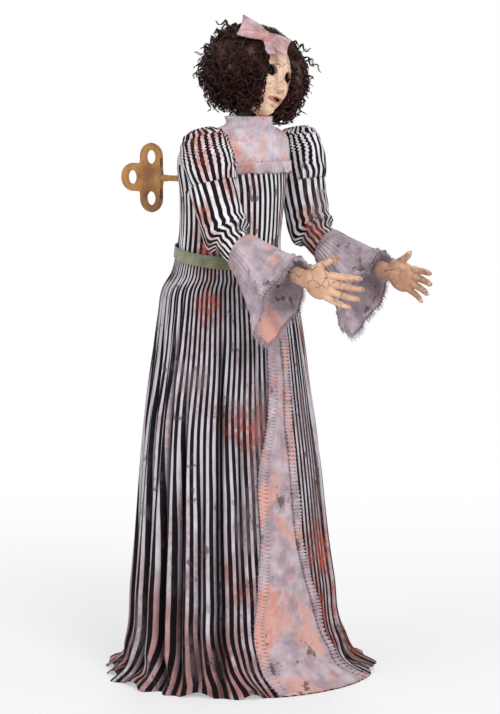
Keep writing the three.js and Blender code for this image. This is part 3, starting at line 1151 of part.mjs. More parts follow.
function buildArm(torsoGroup, word, side) {
  const bend = BEND - UPPER_ANGLE[word];
  const upper = new THREE.Group();
  upper.position.set(side * ARM_X, BAR_Y, BAR_Z);
  upper.rotation.x = -UPPER_ANGLE[word] * deg;
  buildUpperArm(upper, word, side, bend);
  const forearm = new THREE.Group();
  forearm.position.z = -UPPER_LENGTH;
  forearm.rotation.x = -bend * deg;
  buildForearm(forearm, word);
  const wrist = new THREE.Group();
  wrist.position.z = -FOREARM_LENGTH;
  wrist.rotation.x = -(FOREARM_DROP - HAND_DROP) * deg;
  piece(wrist, `hand_${word}`, HAND_SKIN, hand(side));
  forearm.add(wrist);
  upper.add(forearm);
  torsoGroup.add(upper);
}

// The whole doll
const torso = new THREE.Group();
const head = new THREE.Group();
head.position.set(0, NECK_Y, TILT_Z);
head.rotation.y = HEAD_TILT_REST * deg;
const drive = new THREE.Group();
doll.add(torso, head, drive);

buildBase(doll);
buildPoles(doll);
buildHip(doll);
buildWaistMotor(doll);
buildSkirt(doll);
buildPanel(doll);
buildSpine(torso);
buildHeadMotor(torso);
buildChest(torso);
buildKeyFrame(torso);
buildGarments(torso);
buildControls(torso, drive, drive);
buildKey(drive, drive);
buildNeck(torso);
buildHead(head);
for (const [word, side] of sides) buildArm(torso, word, side);

export default doll;
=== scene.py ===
"""A life-size wind-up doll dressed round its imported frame: striped dress, curly wig, cracked face.

Metres, +Z up, the doll faces -Y and its left side is +X, as in the frame. Shapes are grids of
points worked out with numpy. Each hand is several of them, remeshed into one skin.
"""

import json
import math

import bmesh
import bpy
import numpy as np
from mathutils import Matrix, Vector

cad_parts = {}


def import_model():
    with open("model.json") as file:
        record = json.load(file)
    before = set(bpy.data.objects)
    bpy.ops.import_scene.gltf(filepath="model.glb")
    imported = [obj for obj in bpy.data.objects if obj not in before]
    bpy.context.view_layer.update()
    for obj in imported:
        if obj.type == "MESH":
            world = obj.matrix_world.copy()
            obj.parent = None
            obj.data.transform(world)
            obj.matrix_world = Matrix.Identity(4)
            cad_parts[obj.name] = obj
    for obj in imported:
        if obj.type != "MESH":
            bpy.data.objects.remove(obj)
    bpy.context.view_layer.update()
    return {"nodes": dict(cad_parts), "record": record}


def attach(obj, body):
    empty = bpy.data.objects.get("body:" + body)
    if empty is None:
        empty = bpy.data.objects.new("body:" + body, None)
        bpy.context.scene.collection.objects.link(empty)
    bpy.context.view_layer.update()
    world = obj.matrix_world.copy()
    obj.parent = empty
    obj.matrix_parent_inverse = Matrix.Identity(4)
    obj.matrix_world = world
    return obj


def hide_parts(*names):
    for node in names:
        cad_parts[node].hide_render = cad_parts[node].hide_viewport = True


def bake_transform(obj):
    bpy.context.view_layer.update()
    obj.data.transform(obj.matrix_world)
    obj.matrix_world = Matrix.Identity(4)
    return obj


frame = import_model()
TURN = 2 * math.pi
SIDES = {"right": -1, "left": 1}
CLOTH = 0.0012


# Shapes in numpy


def smooth(low, high, value):
    """0 up to low, 1 from high on, and an even S curve between them."""
    share = np.clip((value - low) / (high - low), 0, 1)
    return share * share * (3 - 2 * share)


def mix(first, second, share):
    """First at share 0, second at share 1, in a straight line between them."""
    return first + (second - first) * share


def follow(table, key):
    """Columns of a table of stations at any key: cubics whose slopes are those of the rows beside."""
    table = np.asarray(table, float)
    table = table[np.argsort(table[:, 0])]
    keys, values = table[:, 0], table[:, 1:]
    slopes = np.gradient(values, keys, axis=0)
    key = np.clip(np.asarray(key, float), keys[0], keys[-1])
    place = np.clip(np.searchsorted(keys, key) - 1, 0, len(keys) - 2)
    gap = (keys[place + 1] - keys[place])[..., None]
    t = (key - keys[place])[..., None] / gap
    start, end = values[place], values[place + 1]
    rise, fall = slopes[place] * gap, slopes[place + 1] * gap
    found = start + t * rise + t**2 * (3 * (end - start) - 2 * rise - fall) + t**3 * (
        2 * (start - end) + rise + fall
    )
    return [found[..., i] for i in range(values.shape[1])]


def turned(points, axis, degrees, about=(0, 0, 0)):
    """Points turned round an axis through a point by the right-hand rule."""
    axis = np.asarray(axis, float) / np.linalg.norm(axis)
    about = np.asarray(about, float)
    c, s = math.cos(math.radians(degrees)), math.sin(math.radians(degrees))
    p = np.asarray(points, float) - about
    along = (p @ axis)[..., None] * axis
    return about + p * c + np.cross(axis, p) * s + along * (1 - c)


def unit(vectors):
    """Each vector at length 1."""
    return vectors / np.maximum(np.linalg.norm(vectors, axis=-1, keepdims=True), 1e-12)


def lengths(points, axis):
    """Distance along a grid of points from its first row or column, on the surface."""
    steps = np.linalg.norm(np.diff(points, axis=axis), axis=-1)
    start = np.zeros_like(np.take(steps, [0], axis=axis))
    return np.concatenate([start, np.cumsum(steps, axis=axis)], axis=axis)


def full_turn(count):
    """Evenly spaced angles once round, as a row of a grid."""
    return (np.arange(count) * TURN / count)[None]


def grid_faces(rows, columns, around=False):
    """Corners of the four-sided faces of a grid, its last column joined to its first if around."""
    last = columns if around else columns - 1
    i, j = np.meshgrid(np.arange(rows - 1), np.arange(last), indexing="ij")
    k = (j + 1) % columns
    corners = [i * columns + j, i * columns + k, (i + 1) * columns + k, (i + 1) * columns + j]
    return np.stack(corners, -1).reshape(-1, 4)


def mesh_piece(name, points, faces, material, uv=None):
    """A smooth-shaded object from points, faces and a texture place for every face corner."""
    mesh = bpy.data.meshes.new(name)
    mesh.from_pydata(points.reshape(-1, 3).tolist(), [], faces.tolist())
    if uv is not None:
        layer = mesh.uv_layers.new(name="UVMap")
        layer.data.foreach_set("uv", np.ascontiguousarray(uv, np.float32).ravel())
    mesh.shade_smooth()
    mesh.materials.append(material)
    piece = bpy.data.objects.new(name, mesh)
    bpy.context.scene.collection.objects.link(piece)
    return piece


def surface(name, points, material, around=False, uv=None, flip=False):
    """A piece from a grid of points; uv has one column more than the points where it goes around."""
    rows, columns = points.shape[:2]
    faces = grid_faces(rows, columns, around)
    corner_uv = None
    if uv is not None:
        wide = grid_faces(rows, columns + 1) if around else faces
        corner_uv = uv.reshape(-1, 2)[wide]
    if flip:
        faces = faces[:, ::-1]
        corner_uv = None if corner_uv is None else corner_uv[:, ::-1]
    return mesh_piece(name, points, faces, material, corner_uv)


def closed(points):
    """A grid that goes around, with its first column again after its last."""
    return np.concatenate([points, points[:, :1]], axis=1)


def cloth_uv(points, around, stripes=None):
    """Texture places in metres along the cloth. With stripes, u counts them around each row."""
    grid = closed(points) if around else points
    across, along = lengths(grid, 1), lengths(grid, 0)
    if stripes is not None:
        across = across / across[:, -1:] * stripes
    return np.stack([across, along], -1)


def paint_mask(piece, name, values):
    """Stores a value for each point of a mesh, for its finish to read."""
    layer = piece.data.attributes.new(name, "FLOAT", "POINT")
    layer.data.foreach_set("value", np.ascontiguousarray(values, np.float32).ravel())


def thicken(piece, thickness):
    """Gives a sheet its thickness, inwards from its face."""
    wall = piece.modifiers.new("wall", "SOLIDIFY")
    wall.thickness, wall.offset = thickness, -1


def sheet_area(points, around=False):
    """Area of a grid of points as flat triangles."""
    grid = closed(points) if around else points
    a, b, c, d = grid[:-1, :-1], grid[:-1, 1:], grid[1:, 1:], grid[1:, :-1]
    halves = [np.cross(b - a, c - a), np.cross(c - a, d - a)]
    return float(sum(np.linalg.norm(h, axis=-1).sum() for h in halves) / 2)


def declare(points, around=False):
    """Works out the widest row, the longest column and the area of a piece, and keeps none of them."""
    grid = closed(points) if around else points
    width, length = float(lengths(grid, 1)[:, -1].max()), float(lengths(grid, 0)[-1].max())
    area = min(sheet_area(points, around), width * length)


def sheet(name, points, finish, around=True, uv=None, thickness=CLOTH, flip=True):
    """A piece of cloth from a grid of points, given its thickness."""
    uv = cloth_uv(points, around) if uv is None else uv
    piece = surface(name, points, finish, around, uv, flip)
    declare(points, around)
    thicken(piece, thickness)
    return piece


def fit(pieces, slot, body, *replaced):
    """Attaches pieces to a body and hides the nodes that they stand for; the slot is not used."""
    for piece in pieces:
        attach(piece, body)
    if replaced:
        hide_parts(*replaced)


def tubes(paths, radii, sides):
    """Points and faces of many tubes. Paths are (tubes, steps, 3), radii (tubes, steps): a ring of
    sides points stands square to each step, turned as little as possible from the ring before.
    Tubes of four sides get end caps."""
    count, steps = paths.shape[:2]
    ahead = unit(np.gradient(paths, axis=1))
    side = np.zeros_like(paths)
    seed = np.cross(ahead[:, 0], [0.31, 0.52, 0.79])
    side[:, 0] = unit(seed)
    for i in range(1, steps):
        last = side[:, i - 1]
        side[:, i] = unit(last - (last * ahead[:, i]).sum(-1, keepdims=True) * ahead[:, i])
    other = np.cross(ahead, side)
    angle = np.arange(sides) * TURN / sides
    ring = side[:, :, None] * np.cos(angle)[:, None] + other[:, :, None] * np.sin(angle)[:, None]
    points = paths[:, :, None] + ring * radii[:, :, None, None]
    one = grid_faces(steps, sides, True)
    caps = np.array([np.arange(sides)[::-1][:4], (steps - 1) * sides + np.arange(sides)[:4]])
    one = np.concatenate([one, caps]) if sides == 4 else one
    faces = (one[None] + (np.arange(count) * steps * sides)[:, None, None]).reshape(-1, 4)
    return points.reshape(-1, 3), faces


# Nodes of a material


class Wire:
    """A socket of a material on which sums and comparisons are written as Python does them."""

    def __init__(self, shader, socket):
        self.shader, self.socket = shader, socket

    def maths(self, operation, *values):
        """The socket of a new Math node that works on values or other sockets."""
        return self.shader.node("Math", {"operation": operation}, dict(enumerate(values)))

    def __add__(self, other):
        return self.maths("ADD", self, other)

    __radd__ = __add__

    def __sub__(self, other):
        return self.maths("SUBTRACT", self, other)

    def __rsub__(self, other):
        return self.maths("SUBTRACT", other, self)

    def __mul__(self, other):
        return self.maths("MULTIPLY", self, other)

    __rmul__ = __mul__

    def __abs__(self):
        return self.maths("ABSOLUTE", self)

    def sine(self):
        return self.maths("SINE", self)

    def part(self):
        return self.maths("FRACT", self)

    def at_most(self, other):
        return self.maths("MINIMUM", self, other)

    def at_least(self, other):
        return self.maths("MAXIMUM", self, other)

    def between(self, low, high, start=0.0, end=1.0):
        """Start up to low, end from high on, and an S curve between them."""
        inputs = {"Value": self, "From Min": low, "From Max": high, "To Min": start, "To Max": end}
        return self.shader.node("MapRange", {"interpolation_type": "SMOOTHSTEP"}, inputs)


class Shader:
    """A material on the Principled shader, with one method that adds a node."""

    def __init__(self, name, **fixed):
        self.material = bpy.data.materials.new(name)
        self.material.use_nodes = True
        self.tree = self.material.node_tree
        self.principled = self.tree.nodes["Principled BSDF"]
        for key, value in fixed.items():
            self.principled.inputs[key.replace("_", " ").title()].default_value = value

    def node(self, kind, settings=None, inputs=None, output=0):
        """A node of a type, its settings made before its sockets get their values or links."""
        made = self.tree.nodes.new("ShaderNode" + kind)
        for key, value in (settings or {}).items():
            setattr(made, key, value)
        for key, value in (inputs or {}).items():
            if isinstance(value, Wire):
                self.tree.links.new(value.socket, made.inputs[key])
            else:
                made.inputs[key].default_value = value
        return Wire(self, made.outputs[output])

    def place(self, kind="Object"):
        """The piece's own place of a point: Object for the frame's metres, UV for the cloth's."""
        return self.node("TexCoord", output=kind)

    def moved(self, place, scale=(1, 1, 1), offset=(0, 0, 0)):
        """A place scaled along its axes and shifted."""
        return self.node("Mapping", {}, {"Vector": place, "Scale": scale, "Location": offset})

    def split(self, vector):
        """The three parts of a vector."""
        return [self.node("SeparateXYZ", {}, {0: vector}, output=axis) for axis in range(3)]

    def noise(self, place, scale, detail=3, roughness=0.5):
        """Clouds of values round a half, with so many features to the metre."""
        inputs = {"Vector": place, "Scale": scale, "Detail": detail, "Roughness": roughness}
        return self.node("TexNoise", {}, inputs)

    def cell_edges(self, place, scale):
        """Distance to the nearest border between random cells."""
        settings = {"feature": "DISTANCE_TO_EDGE"}
        return self.node("TexVoronoi", settings, {"Vector": place, "Scale": scale})

    def blend(self, share, first, second, how="MIX"):
        """Two colours mixed by a share."""
        settings = {"data_type": "RGBA", "blend_type": how}
        colours = [(*c, 1) if isinstance(c, tuple) and len(c) == 3 else c for c in (first, second)]
        return self.node("Mix", settings, {0: share, 6: colours[0], 7: colours[1]}, output=2)

    def warped(self, place, scale, amount):
        """A place pushed about by noise, so that what is drawn on it wanders."""
        push = self.node("TexNoise", {}, {"Vector": place, "Scale": scale, "Detail": 3}, output=1)
        centred = self.node("VectorMath", {"operation": "SUBTRACT"}, {0: push, 1: (0.5, 0.5, 0.5)})
        scaled = self.node("VectorMath", {"operation": "SCALE"}, {0: centred, "Scale": amount})
        return self.node("VectorMath", {"operation": "ADD"}, {0: place, 1: scaled})

    def bump(self, height, distance, strength):
        """A normal tilted by a height field."""
        return self.node("Bump", {}, {"Height": height, "Distance": distance, "Strength": strength})

    def done(self, **links):
        """Links what varies to the Principled shader and gives the material back."""
        for key, value in links.items():
            self.tree.links.new(value.socket, self.principled.inputs[key.replace("_", " ").title()])
        return self.material


def tint(code):
    """A colour written as six hexadecimal digits, as the linear light that the shader takes."""
    parts = [int(code[i : i + 2], 16) / 255 for i in (0, 2, 4)]
    return tuple(p / 12.92 if p <= 0.04045 else ((p + 0.055) / 1.055) ** 2.4 for p in parts)


# Finishes


def patches(shader, place, size, low, high, offset=(0, 0, 0), drawn=1.0):
    """1 inside soft-edged patches of about a size, drawn out downwards by a factor."""
    moved = shader.moved(place, scale=(1, 1, 1 / drawn), offset=offset)
    broad = shader.noise(shader.warped(moved, 0.5 / size, size * 0.4), 0.35 / size, 5, 0.62)
    return broad.between(low, high)


# Stains of the striped cloth, one over the other: size, where a patch starts and is full, offset,
# how far it is drawn out downwards, how the grain lets it through, strength, colour and mixing
CLOTH_STAINS = [
    (0.065, (0.51, 0.62), (0, 0, 0), 1.8, (0.3, 0.55, 0.3, 1.0), 0.8, "cd8a78", "MULTIPLY"),
    (0.065, (0.58, 0.68), (0, 0, 0), 1.8, (0.35, 0.55), 0.7, "b8503c", "MIX"),
    (0.022, (0.50, 0.64), (6.2, 2.3, 7.7), 2.6, (0.35, 0.6, 0.2, 1.0), 0.6, "cfa39a", "MULTIPLY"),
    (0.045, (0.53, 0.64), (3.1, 1.7, 0.4), 2.2, (0.3, 0.55, 0.4, 1.0), 0.62, "6d5c5e", "MIX"),
    (0.018, (0.605, 0.65), (1.1, 5.7, 2.4), 1.3, (0.3, 0.5, 0.3, 1.0), 0.75, "463c43", "MIX"),
]
LOW_STAIN_TOP = 0.46


def aged_cloth(shader, colour, place):
    """Salmon-rust patches drawn out downwards and more of them near the floor, grey-brown ones and
    small dark blots over a cloth."""
    fine = shader.noise(place, 60, 4, 0.65)
    _, _, height = shader.split(place)
    near_floor = (LOW_STAIN_TOP - height).between(0.0, 0.36)
    low = patches(shader, place, 0.045, 0.42, 0.58, (9.1, 4.4, 1.2), 1.6) * near_floor
    colour = shader.blend(low * 0.8, colour, tint("c98374"), "MULTIPLY")
    for size, (start, full), offset, drawn, grain, strength, code, how in CLOTH_STAINS:
        stain = patches(shader, place, size, start, full, offset, drawn) * fine.between(*grain)
        colour = shader.blend(stain * strength, colour, tint(code), how)
    return colour, fine


def striped_cloth(name="striped_cloth", low="c6bfc8", high="fcfafd"):
    """A dark and a pale woven stripe to every whole step of the texture's u, with stains over them
    and painted shade with grime in the folds, where the mesh marks their depth."""
    shader = Shader(name, roughness=0.86)
    shader.principled.inputs["Specular IOR Level"].default_value = 0.15
    uv, place = shader.place("UV"), shader.place()
    u, _, _ = shader.split(uv)
    wander = (shader.noise(place, 14, 2) - 0.5) * 0.12
    phase = (u + wander).part()
    pale = abs(phase - 0.5).between(0.245, 0.295)
    shade = shader.noise(place, 26, 5, 0.6)
    light = shader.blend(shade, tint(low), tint(high))
    dark = shader.blend(shade, tint("08070b"), tint("1c1922"))
    colour = shader.blend(pale, dark, light)
    colour, fine = aged_cloth(shader, colour, place)
    # Painted shade with grime: darker in the skirt's fold valleys, where shade falls
    fold_shade_and_grime = shader.node("Attribute", {"attribute_name": "fold_shade_and_grime"}, output=2)
    colour = shader.blend(fold_shade_and_grime * 0.8, colour, tint("5c5258"), "MULTIPLY")
    worn = shader.bump(fine, 0.0012, 0.5)
    return shader.done(base_color=colour, normal=worn)


def stained_cloth(name="stained_lilac_cloth", pink=0.50, scuffed=0.64, low="b3a1ac", high="dccfd6"):
    """Lilac-grey cloth gone salmon in broad patches, with dark scuffs, blots and specks. The lower
    the pink value, the more of it is salmon, and the lower the scuffed value, the more scuffs."""
    shader = Shader(name, roughness=0.9)
    shader.principled.inputs["Sheen Weight"].default_value = 0.1
    place = shader.place()
    shade = shader.noise(place, 22, 6, 0.65)
    colour = shader.blend(shade.between(0.3, 0.7), tint(low), tint(high))
    salmon = patches(shader, place, 0.055, pink, pink + 0.09, (4.2, 0.6, 1.9), 1.3)
    colour = shader.blend(salmon * shade.between(0.3, 0.6, 0.5, 0.9), colour, tint("d79f90"))
    deep = patches(shader, place, 0.022, pink + 0.09, pink + 0.15, (2.4, 3.6, 5.2))
    colour = shader.blend(deep * 0.55, colour, tint("c4806f"))
    grey = patches(shader, place, 0.03, 0.60, 0.66, (1.3, 4.2, 2.5))
    colour = shader.blend(grey * 0.55, colour, tint("8a7b84"))
    specks = shader.noise(shader.moved(place, offset=(5, 2, 1)), 95, 4, 0.7).between(0.64, 0.72)
    colour = shader.blend(specks * 0.55, colour, tint("5a4f57"))
    scuff = patches(shader, place, 0.014, scuffed, scuffed + 0.035, (7, 3, 2), 1.4)
    smear = scuff * patches(shader, place, 0.05, 0.47, 0.52, (8, 1, 6))
    colour = shader.blend(smear * 0.8, colour, tint("433a41"))
    height = shade + specks * 0.3
    return shader.done(base_color=colour, normal=shader.bump(height, 0.0015, 0.5))


def ribbon_finish():
    """Olive-grey ribbon with fine ribs along its length."""
    shader = Shader("olive_ribbon", roughness=0.55)
    shader.principled.inputs["Sheen Weight"].default_value = 0.3
    place = shader.place()
    _, along, _ = shader.split(shader.place("UV"))
    shade = shader.noise(place, 30, 4)
    colour = shader.blend(shade.between(0.3, 0.7), tint("6a6e52"), tint("8f9373"))
    ribs = (along * (900 * TURN)).sine()
    return shader.done(base_color=colour, normal=shader.bump(ribs, 0.0003, 0.4))


def hair_finish():
    """Near-black brown hair with auburn tones, painted highlights and fine strands along each curl."""
    shader = Shader("dark_auburn_hair", roughness=0.4)
    shader.principled.inputs["Specular IOR Level"].default_value = 0.16
    place, uv = shader.place(), shader.place("UV")
    shade = shader.noise(place, 38, 4, 0.6)
    strand = shader.noise(shader.moved(uv, scale=(90, 3, 1)), 4, 3)
    apart = shader.noise(shader.moved(uv, scale=(37, 0, 1)), 5, 1)
    colour = shader.blend(shade.between(0.35, 0.7), tint("180a09"), tint("361b17"))
    colour = shader.blend(apart.between(0.54, 0.68), colour, tint("60382d"))
    # Painted highlight: lighter streaks along the strands stand in for the curls' gloss
    colour = shader.blend(strand.between(0.54, 0.78) * 0.55, colour, tint("8c6250"))
    return shader.done(base_color=colour, normal=shader.bump(strand, 0.0012, 0.6))


def cracks(shader, place, size, width, share):
    """Dark branching lines: edges of warped cells of a size, kept where a broad noise is high."""
    bent = shader.warped(shader.warped(place, 30, 0.026), 110, 0.006)
    lines = shader.cell_edges(bent, 1 / size)
    kept = shader.noise(place, 17, 3).between(share, share + 0.06)
    return (width - lines).between(0, width * 0.6) * kept


def doll_skin(name, base, dark, blush, rust):
    """Painted composition: a warm cream, darker in patches, with grime and a net of dark cracks."""
    shader = Shader(name, roughness=0.45)
    place = shader.place()
    shade = shader.noise(place, 16, 5, 0.6)
    fine = shader.noise(place, 120, 4, 0.7)
    colour = shader.blend(shade.between(0.3, 0.75), tint(base), tint(dark))
    flush = shader.noise(shader.moved(place, offset=(2, 5, 1)), 13, 3).between(0.55, 0.72)
    colour = shader.blend(flush * 0.5, colour, tint(blush))
    grime = (fine + shade * 0.5).between(0.86, 1.0)
    colour = shader.blend(grime * 0.5, colour, tint(rust))
    wide = cracks(shader, place, 0.034, 0.024, 0.47)
    thin = cracks(shader, shader.moved(place, offset=(0.7, 0.3, 0.9)), 0.014, 0.022, 0.53)
    lines = wide.at_least(thin * 0.8)
    colour = shader.blend(lines * 0.85, colour, tint("2e201a"))
    height = fine * 0.2 - lines
    rough = shade.between(0.2, 0.8, 0.38, 0.6)
    return shader, colour, shader.bump(height, 0.0009, 0.7), rough


def gold_paint():
    """Golden-brown paint, browner along its edges and in specks, and duller in patches."""
    shader = Shader("worn_gold_paint", roughness=0.5)
    place = shader.place()
    shade = shader.noise(place, 14, 5, 0.62)
    fine = shader.noise(place, 90, 4, 0.7)
    colour = shader.blend(shade.between(0.32, 0.7), tint("7d5025"), tint("b98344"))
    edge = shader.node("NewGeometry", output=7)
    worn = (edge.between(0.5, 0.62) + fine * 0.25).between(0.5, 0.9)
    colour = shader.blend(worn * 0.6, colour, tint("4d2f19"))
    colour = shader.blend(fine.between(0.62, 0.72) * 0.5, colour, tint("6b431f"))
    rough = shade.between(0.2, 0.8, 0.35, 0.6)
    height = shade * 0.6 + fine * 0.4
    return shader.done(base_color=colour, roughness=rough, normal=shader.bump(height, 0.0012, 0.5))


def part_finish(name, base, dark, roughness, metallic=0.0, grain=60, brushed=False):
    """A plain part's finish: two near tones, darker specks, and fine grain or brushing."""
    shader = Shader(name, metallic=metallic)
    place = shader.place()
    stretched = shader.moved(place, scale=(1, 1, 0.06)) if brushed else place
    fine = shader.noise(stretched, grain * (6 if brushed else 2), 4, 0.6)
    shade = shader.noise(place, 11, 4, 0.6)
    colour = shader.blend(shade.between(0.3, 0.75), tint(base), tint(dark))
    colour = shader.blend(fine.between(0.62, 0.75) * 0.35, colour, tint(dark))
    rough = (shade + fine * 0.4).between(0.3, 1.0, roughness - 0.08, roughness + 0.15)
    return shader.done(base_color=colour, roughness=rough, normal=shader.bump(fine, 0.0004, 0.35))


PART_FINISHES = {
    "steel": part_finish("brushed_steel", "9b9ea3", "6f7276", 0.34, 1.0, 70, True),
    "black_tube": part_finish("black_painted_tube", "17181a", "0c0c0d", 0.42, 0.0, 60),
    "rubber": part_finish("black_rubber", "141414", "202020", 0.8, 0.0, 90),
    "black_plastic": part_finish("black_moulding", "1c1d20", "111214", 0.55, 0.0, 80),
    "grey_plastic": part_finish("grey_moulding", "55585c", "3d4043", 0.5, 0.0, 80),
    "red_plastic": part_finish("red_moulding", "8e1a15", "64110d", 0.35, 0.0, 70),
    "brass": part_finish("cut_brass", "b08a3c", "7d5f27", 0.32, 1.0, 70),
    "eye_black": part_finish("eye_hollow_black", "0a0808", "050404", 0.9, 0.0, 60),
    "teeth_white": part_finish("ivory_teeth", "d9cfb4", "b5a482", 0.3, 0.0, 70),
}
GOLD = gold_paint()
SKIRT_STRIPES = 94
STRIPED_CLOTH = striped_cloth()
# The skirt's cloth, with painted shade and grime in its fold valleys
SKIRT_CLOTH = striped_cloth("skirt_cloth_with_fold_shade_and_grime", "a39ba6", "dcd6de")
STAINED_CLOTH = stained_cloth()
PANEL_CLOTH = stained_cloth("soiled_panel_cloth", 0.485, 0.60, "99868f", "c8b6be")
CUFF_CLOTH = stained_cloth("scuffed_cuff_cloth", 0.51, 0.58, "8d7c86", "c2b2bb")
BOW_CLOTH = stained_cloth("stained_pink_ribbon", 0.455, 0.64, "93717a", "ccb0b8")
RIBBON = ribbon_finish()
HAIR = hair_finish()


# Dress: smooth curves through stations. Skirt, bodice and yoke follow the solids' stations, with
# rows added past their ends, and the front panel's are up to 4 mm off its solid's

WAIST_Z = 0.9915
BELT_BACK_Z, BELT_TILT, BELT_WIDTH = 1.045, math.radians(8), 0.029
BELT_BACK_Y, WAIST_HALF_DEPTH, BELT_OUT = 0.117, 0.1185, 0.0036
BODICE_TOP, BODICE_LOW, BUST_HALF_WIDTH = 1.262, 0.985, 0.152
YOKE_LOW, COLLAR_TOP = 1.252, 1.37
SKIRT = [
    (1.06, 0.1405, 0.1195, 0.0), (1.02, 0.1455, 0.1235, 0.0), (0.9895, 0.155, 0.130, 0.0),
    (0.95, 0.176, 0.151, 0.0), (0.89, 0.188, 0.161, -0.001), (0.6, 0.229, 0.195, -0.004),
    (0.23, 0.268, 0.229, -0.014), (0.085, 0.286, 0.248, -0.022), (0.022, 0.308, 0.288, -0.032),
    (0.0016, 0.342, 0.326, -0.040),
]
PANEL = [
    (1.06, 0.014, -0.015), (0.95, 0.015, -0.018), (0.89, 0.017, -0.023), (0.7, 0.022, -0.039),
    (0.6, 0.034, -0.050), (0.42, 0.046, -0.066), (0.23, 0.070, -0.061), (0.085, 0.104, -0.054),
    (0.022, 0.122, -0.042), (0.003, 0.144, -0.028),
]
BODICE = [
    (0.96, 0.150, -0.128, 0.124, 0.0), (0.9935, 0.146, -0.124, 0.121, 0.0),
    (1.035, 0.139, -0.118, 0.117, 0.0), (1.11, 0.136, -0.124, 0.113, -0.008),
    (1.19, 0.141, -0.131, 0.114, -0.020), (1.2565, 0.152, -0.131, 0.116, -0.030),
    (1.275, 0.152, -0.130, 0.110, -0.034),
]
YOKE = [
    (1.24, 0.150, -0.131, 0.116, -0.028), (1.257, 0.152, -0.131, 0.116, -0.030),
    (1.295, 0.150, -0.127, 0.097, -0.042), (1.322, 0.134, -0.121, 0.060, -0.050),
    (1.338, 0.096, -0.118, 0.016, -0.058), (1.346, 0.062, -0.122, 0.0, -0.062),
    (1.37, 0.057, -0.120, -0.006, -0.063),
]
SKIRT_TOP, TUCK_FROM = SKIRT[0][0], 0.93
ARMHOLE_X, ARMHOLE_Z = 0.128, 1.176
BODICE_STRIPES, SLEEVE_STRIPES = 48, 17
# Deep folds of the skirt: angle in degrees, depth, half width in degrees and height of the top
DEEP_FOLDS = [
    (164, 0.010, 3.2, 0.90), (180.5, 0.013, 3.0, 0.97), (193, 0.011, 2.6, 0.80), (206, 0.006, 2.4, 0.62),
    (218, 0.013, 3.0, 0.95), (231, 0.009, 2.6, 0.72), (243.5, 0.012, 2.2, 0.93), (148, 0.012, 3.4, 0.86),
    (129, 0.011, 3.6, 0.94), (108, 0.010, 3.2, 0.80), (88, 0.013, 3.8, 0.92), (66, 0.010, 3.2, 0.84),
    (47, 0.012, 3.6, 0.93), (28, 0.010, 3.2, 0.78), (9, 0.012, 3.4, 0.92), (349, 0.009, 3.0, 0.82),
    (331, 0.012, 3.0, 0.94), (314, 0.009, 2.6, 0.74), (301, 0.011, 2.2, 0.90),
]
FOLD_DEEPENED, FOLD_DRAWN = 1.8, 0.4
TRIM_WIDTH, TRIM_PLEATS, TRIM_OUT = 0.021, 125, 0.0040
FRILL_DROP, FRILL_PLEATS, FRILL_TOP, FRILL_OUT = 0.026, 72, 1.2605, 0.0056
PANEL_OUT = 0.0036
THREAD_R, FRINGE_R = 0.00034, 0.00045


def skirt_rows(count, low=0.0016, high=1.06, table=SKIRT):
    """Heights from high down to low, evenly spaced along the profile of half width over height."""
    z = np.linspace(high, low, 1500)
    width = follow(table, z)[0]
    run = np.concatenate([[0], np.cumsum(np.hypot(np.diff(z), np.diff(width)))])
    return np.interp(np.linspace(0, run[-1], count), run, z)


def belt_line(angle, share=0.0):
    """Height of the belt at an angle: it falls by the tilt from the back to the front."""
    y = WAIST_HALF_DEPTH * np.sin(angle)
    return BELT_BACK_Z - (BELT_BACK_Y - y) * math.tan(BELT_TILT) + share * BELT_WIDTH


def tuck(angle, z):
    """How far cloth at a height is drawn down, so that the skirt's top follows the belt."""
    return (SKIRT_TOP - belt_line(angle)) * smooth(TUCK_FROM, SKIRT_TOP, z)


def on_skirt(angle, z, out=0.0):
    """A point on the skirt's oval at a height, moved outwards square to the oval."""
    a, b, cy = follow(SKIRT, z)
    c, s = np.cos(angle), np.sin(angle)
    square = np.hypot(c / a, s / b)
    x, y = a * c + out * c / a / square, cy + b * s + out * s / b / square
    return np.stack([x, y, z + 0 * angle], -1)


def front_angle(x, z):
    """Angle on the skirt's front of a point at x."""
    return -np.arccos(np.clip(x / follow(SKIRT, z)[0], -1, 1))


def off_panel(angle, z):
    """1 away from the front panel, 0 beneath it and its trims."""
    half, x = follow(PANEL, z)
    away = np.abs(follow(SKIRT, z)[0] * np.cos(angle) - x) - half - TRIM_WIDTH
    return np.where(np.sin(angle) > 0, 1.0, smooth(0, 2 * TRIM_WIDTH, away))


def deep_folds(angle, z):
    """Depth of the skirt's deep folds with a soft ridge on each side, wandering a little on their
    way down, and the angle by which cloth is drawn into them."""
    turn = np.degrees(angle) % 360
    depth, drawn = 0 * turn + 0 * z, 0 * turn + 0 * z
    for place, deep, half, top in DEEP_FOLDS:
        wander = 0.9 * np.sin(4 * z + place) + 4 * smooth(0.12, 0.0, z) * np.sin(place * 2.1)
        away = (turn - place - wander + 180) % 360 - 180
        off = away / (half * (0.6 + 0.4 * smooth(0.8, 0.1, z)))
        grow = smooth(top, top - 0.3, z) * (1 - 0.45 * smooth(0.06, 0.0, z))
        ridge = 0.35 * np.exp(-(((np.abs(off) - 2.1) / 1.1) ** 2))
        depth = depth + FOLD_DEEPENED * deep * grow * (np.exp(-(off**2)) - ridge)
        drawn = drawn - math.radians(half) * FOLD_DRAWN * grow * off * np.exp(-0.6 * off**2)
    return depth, drawn


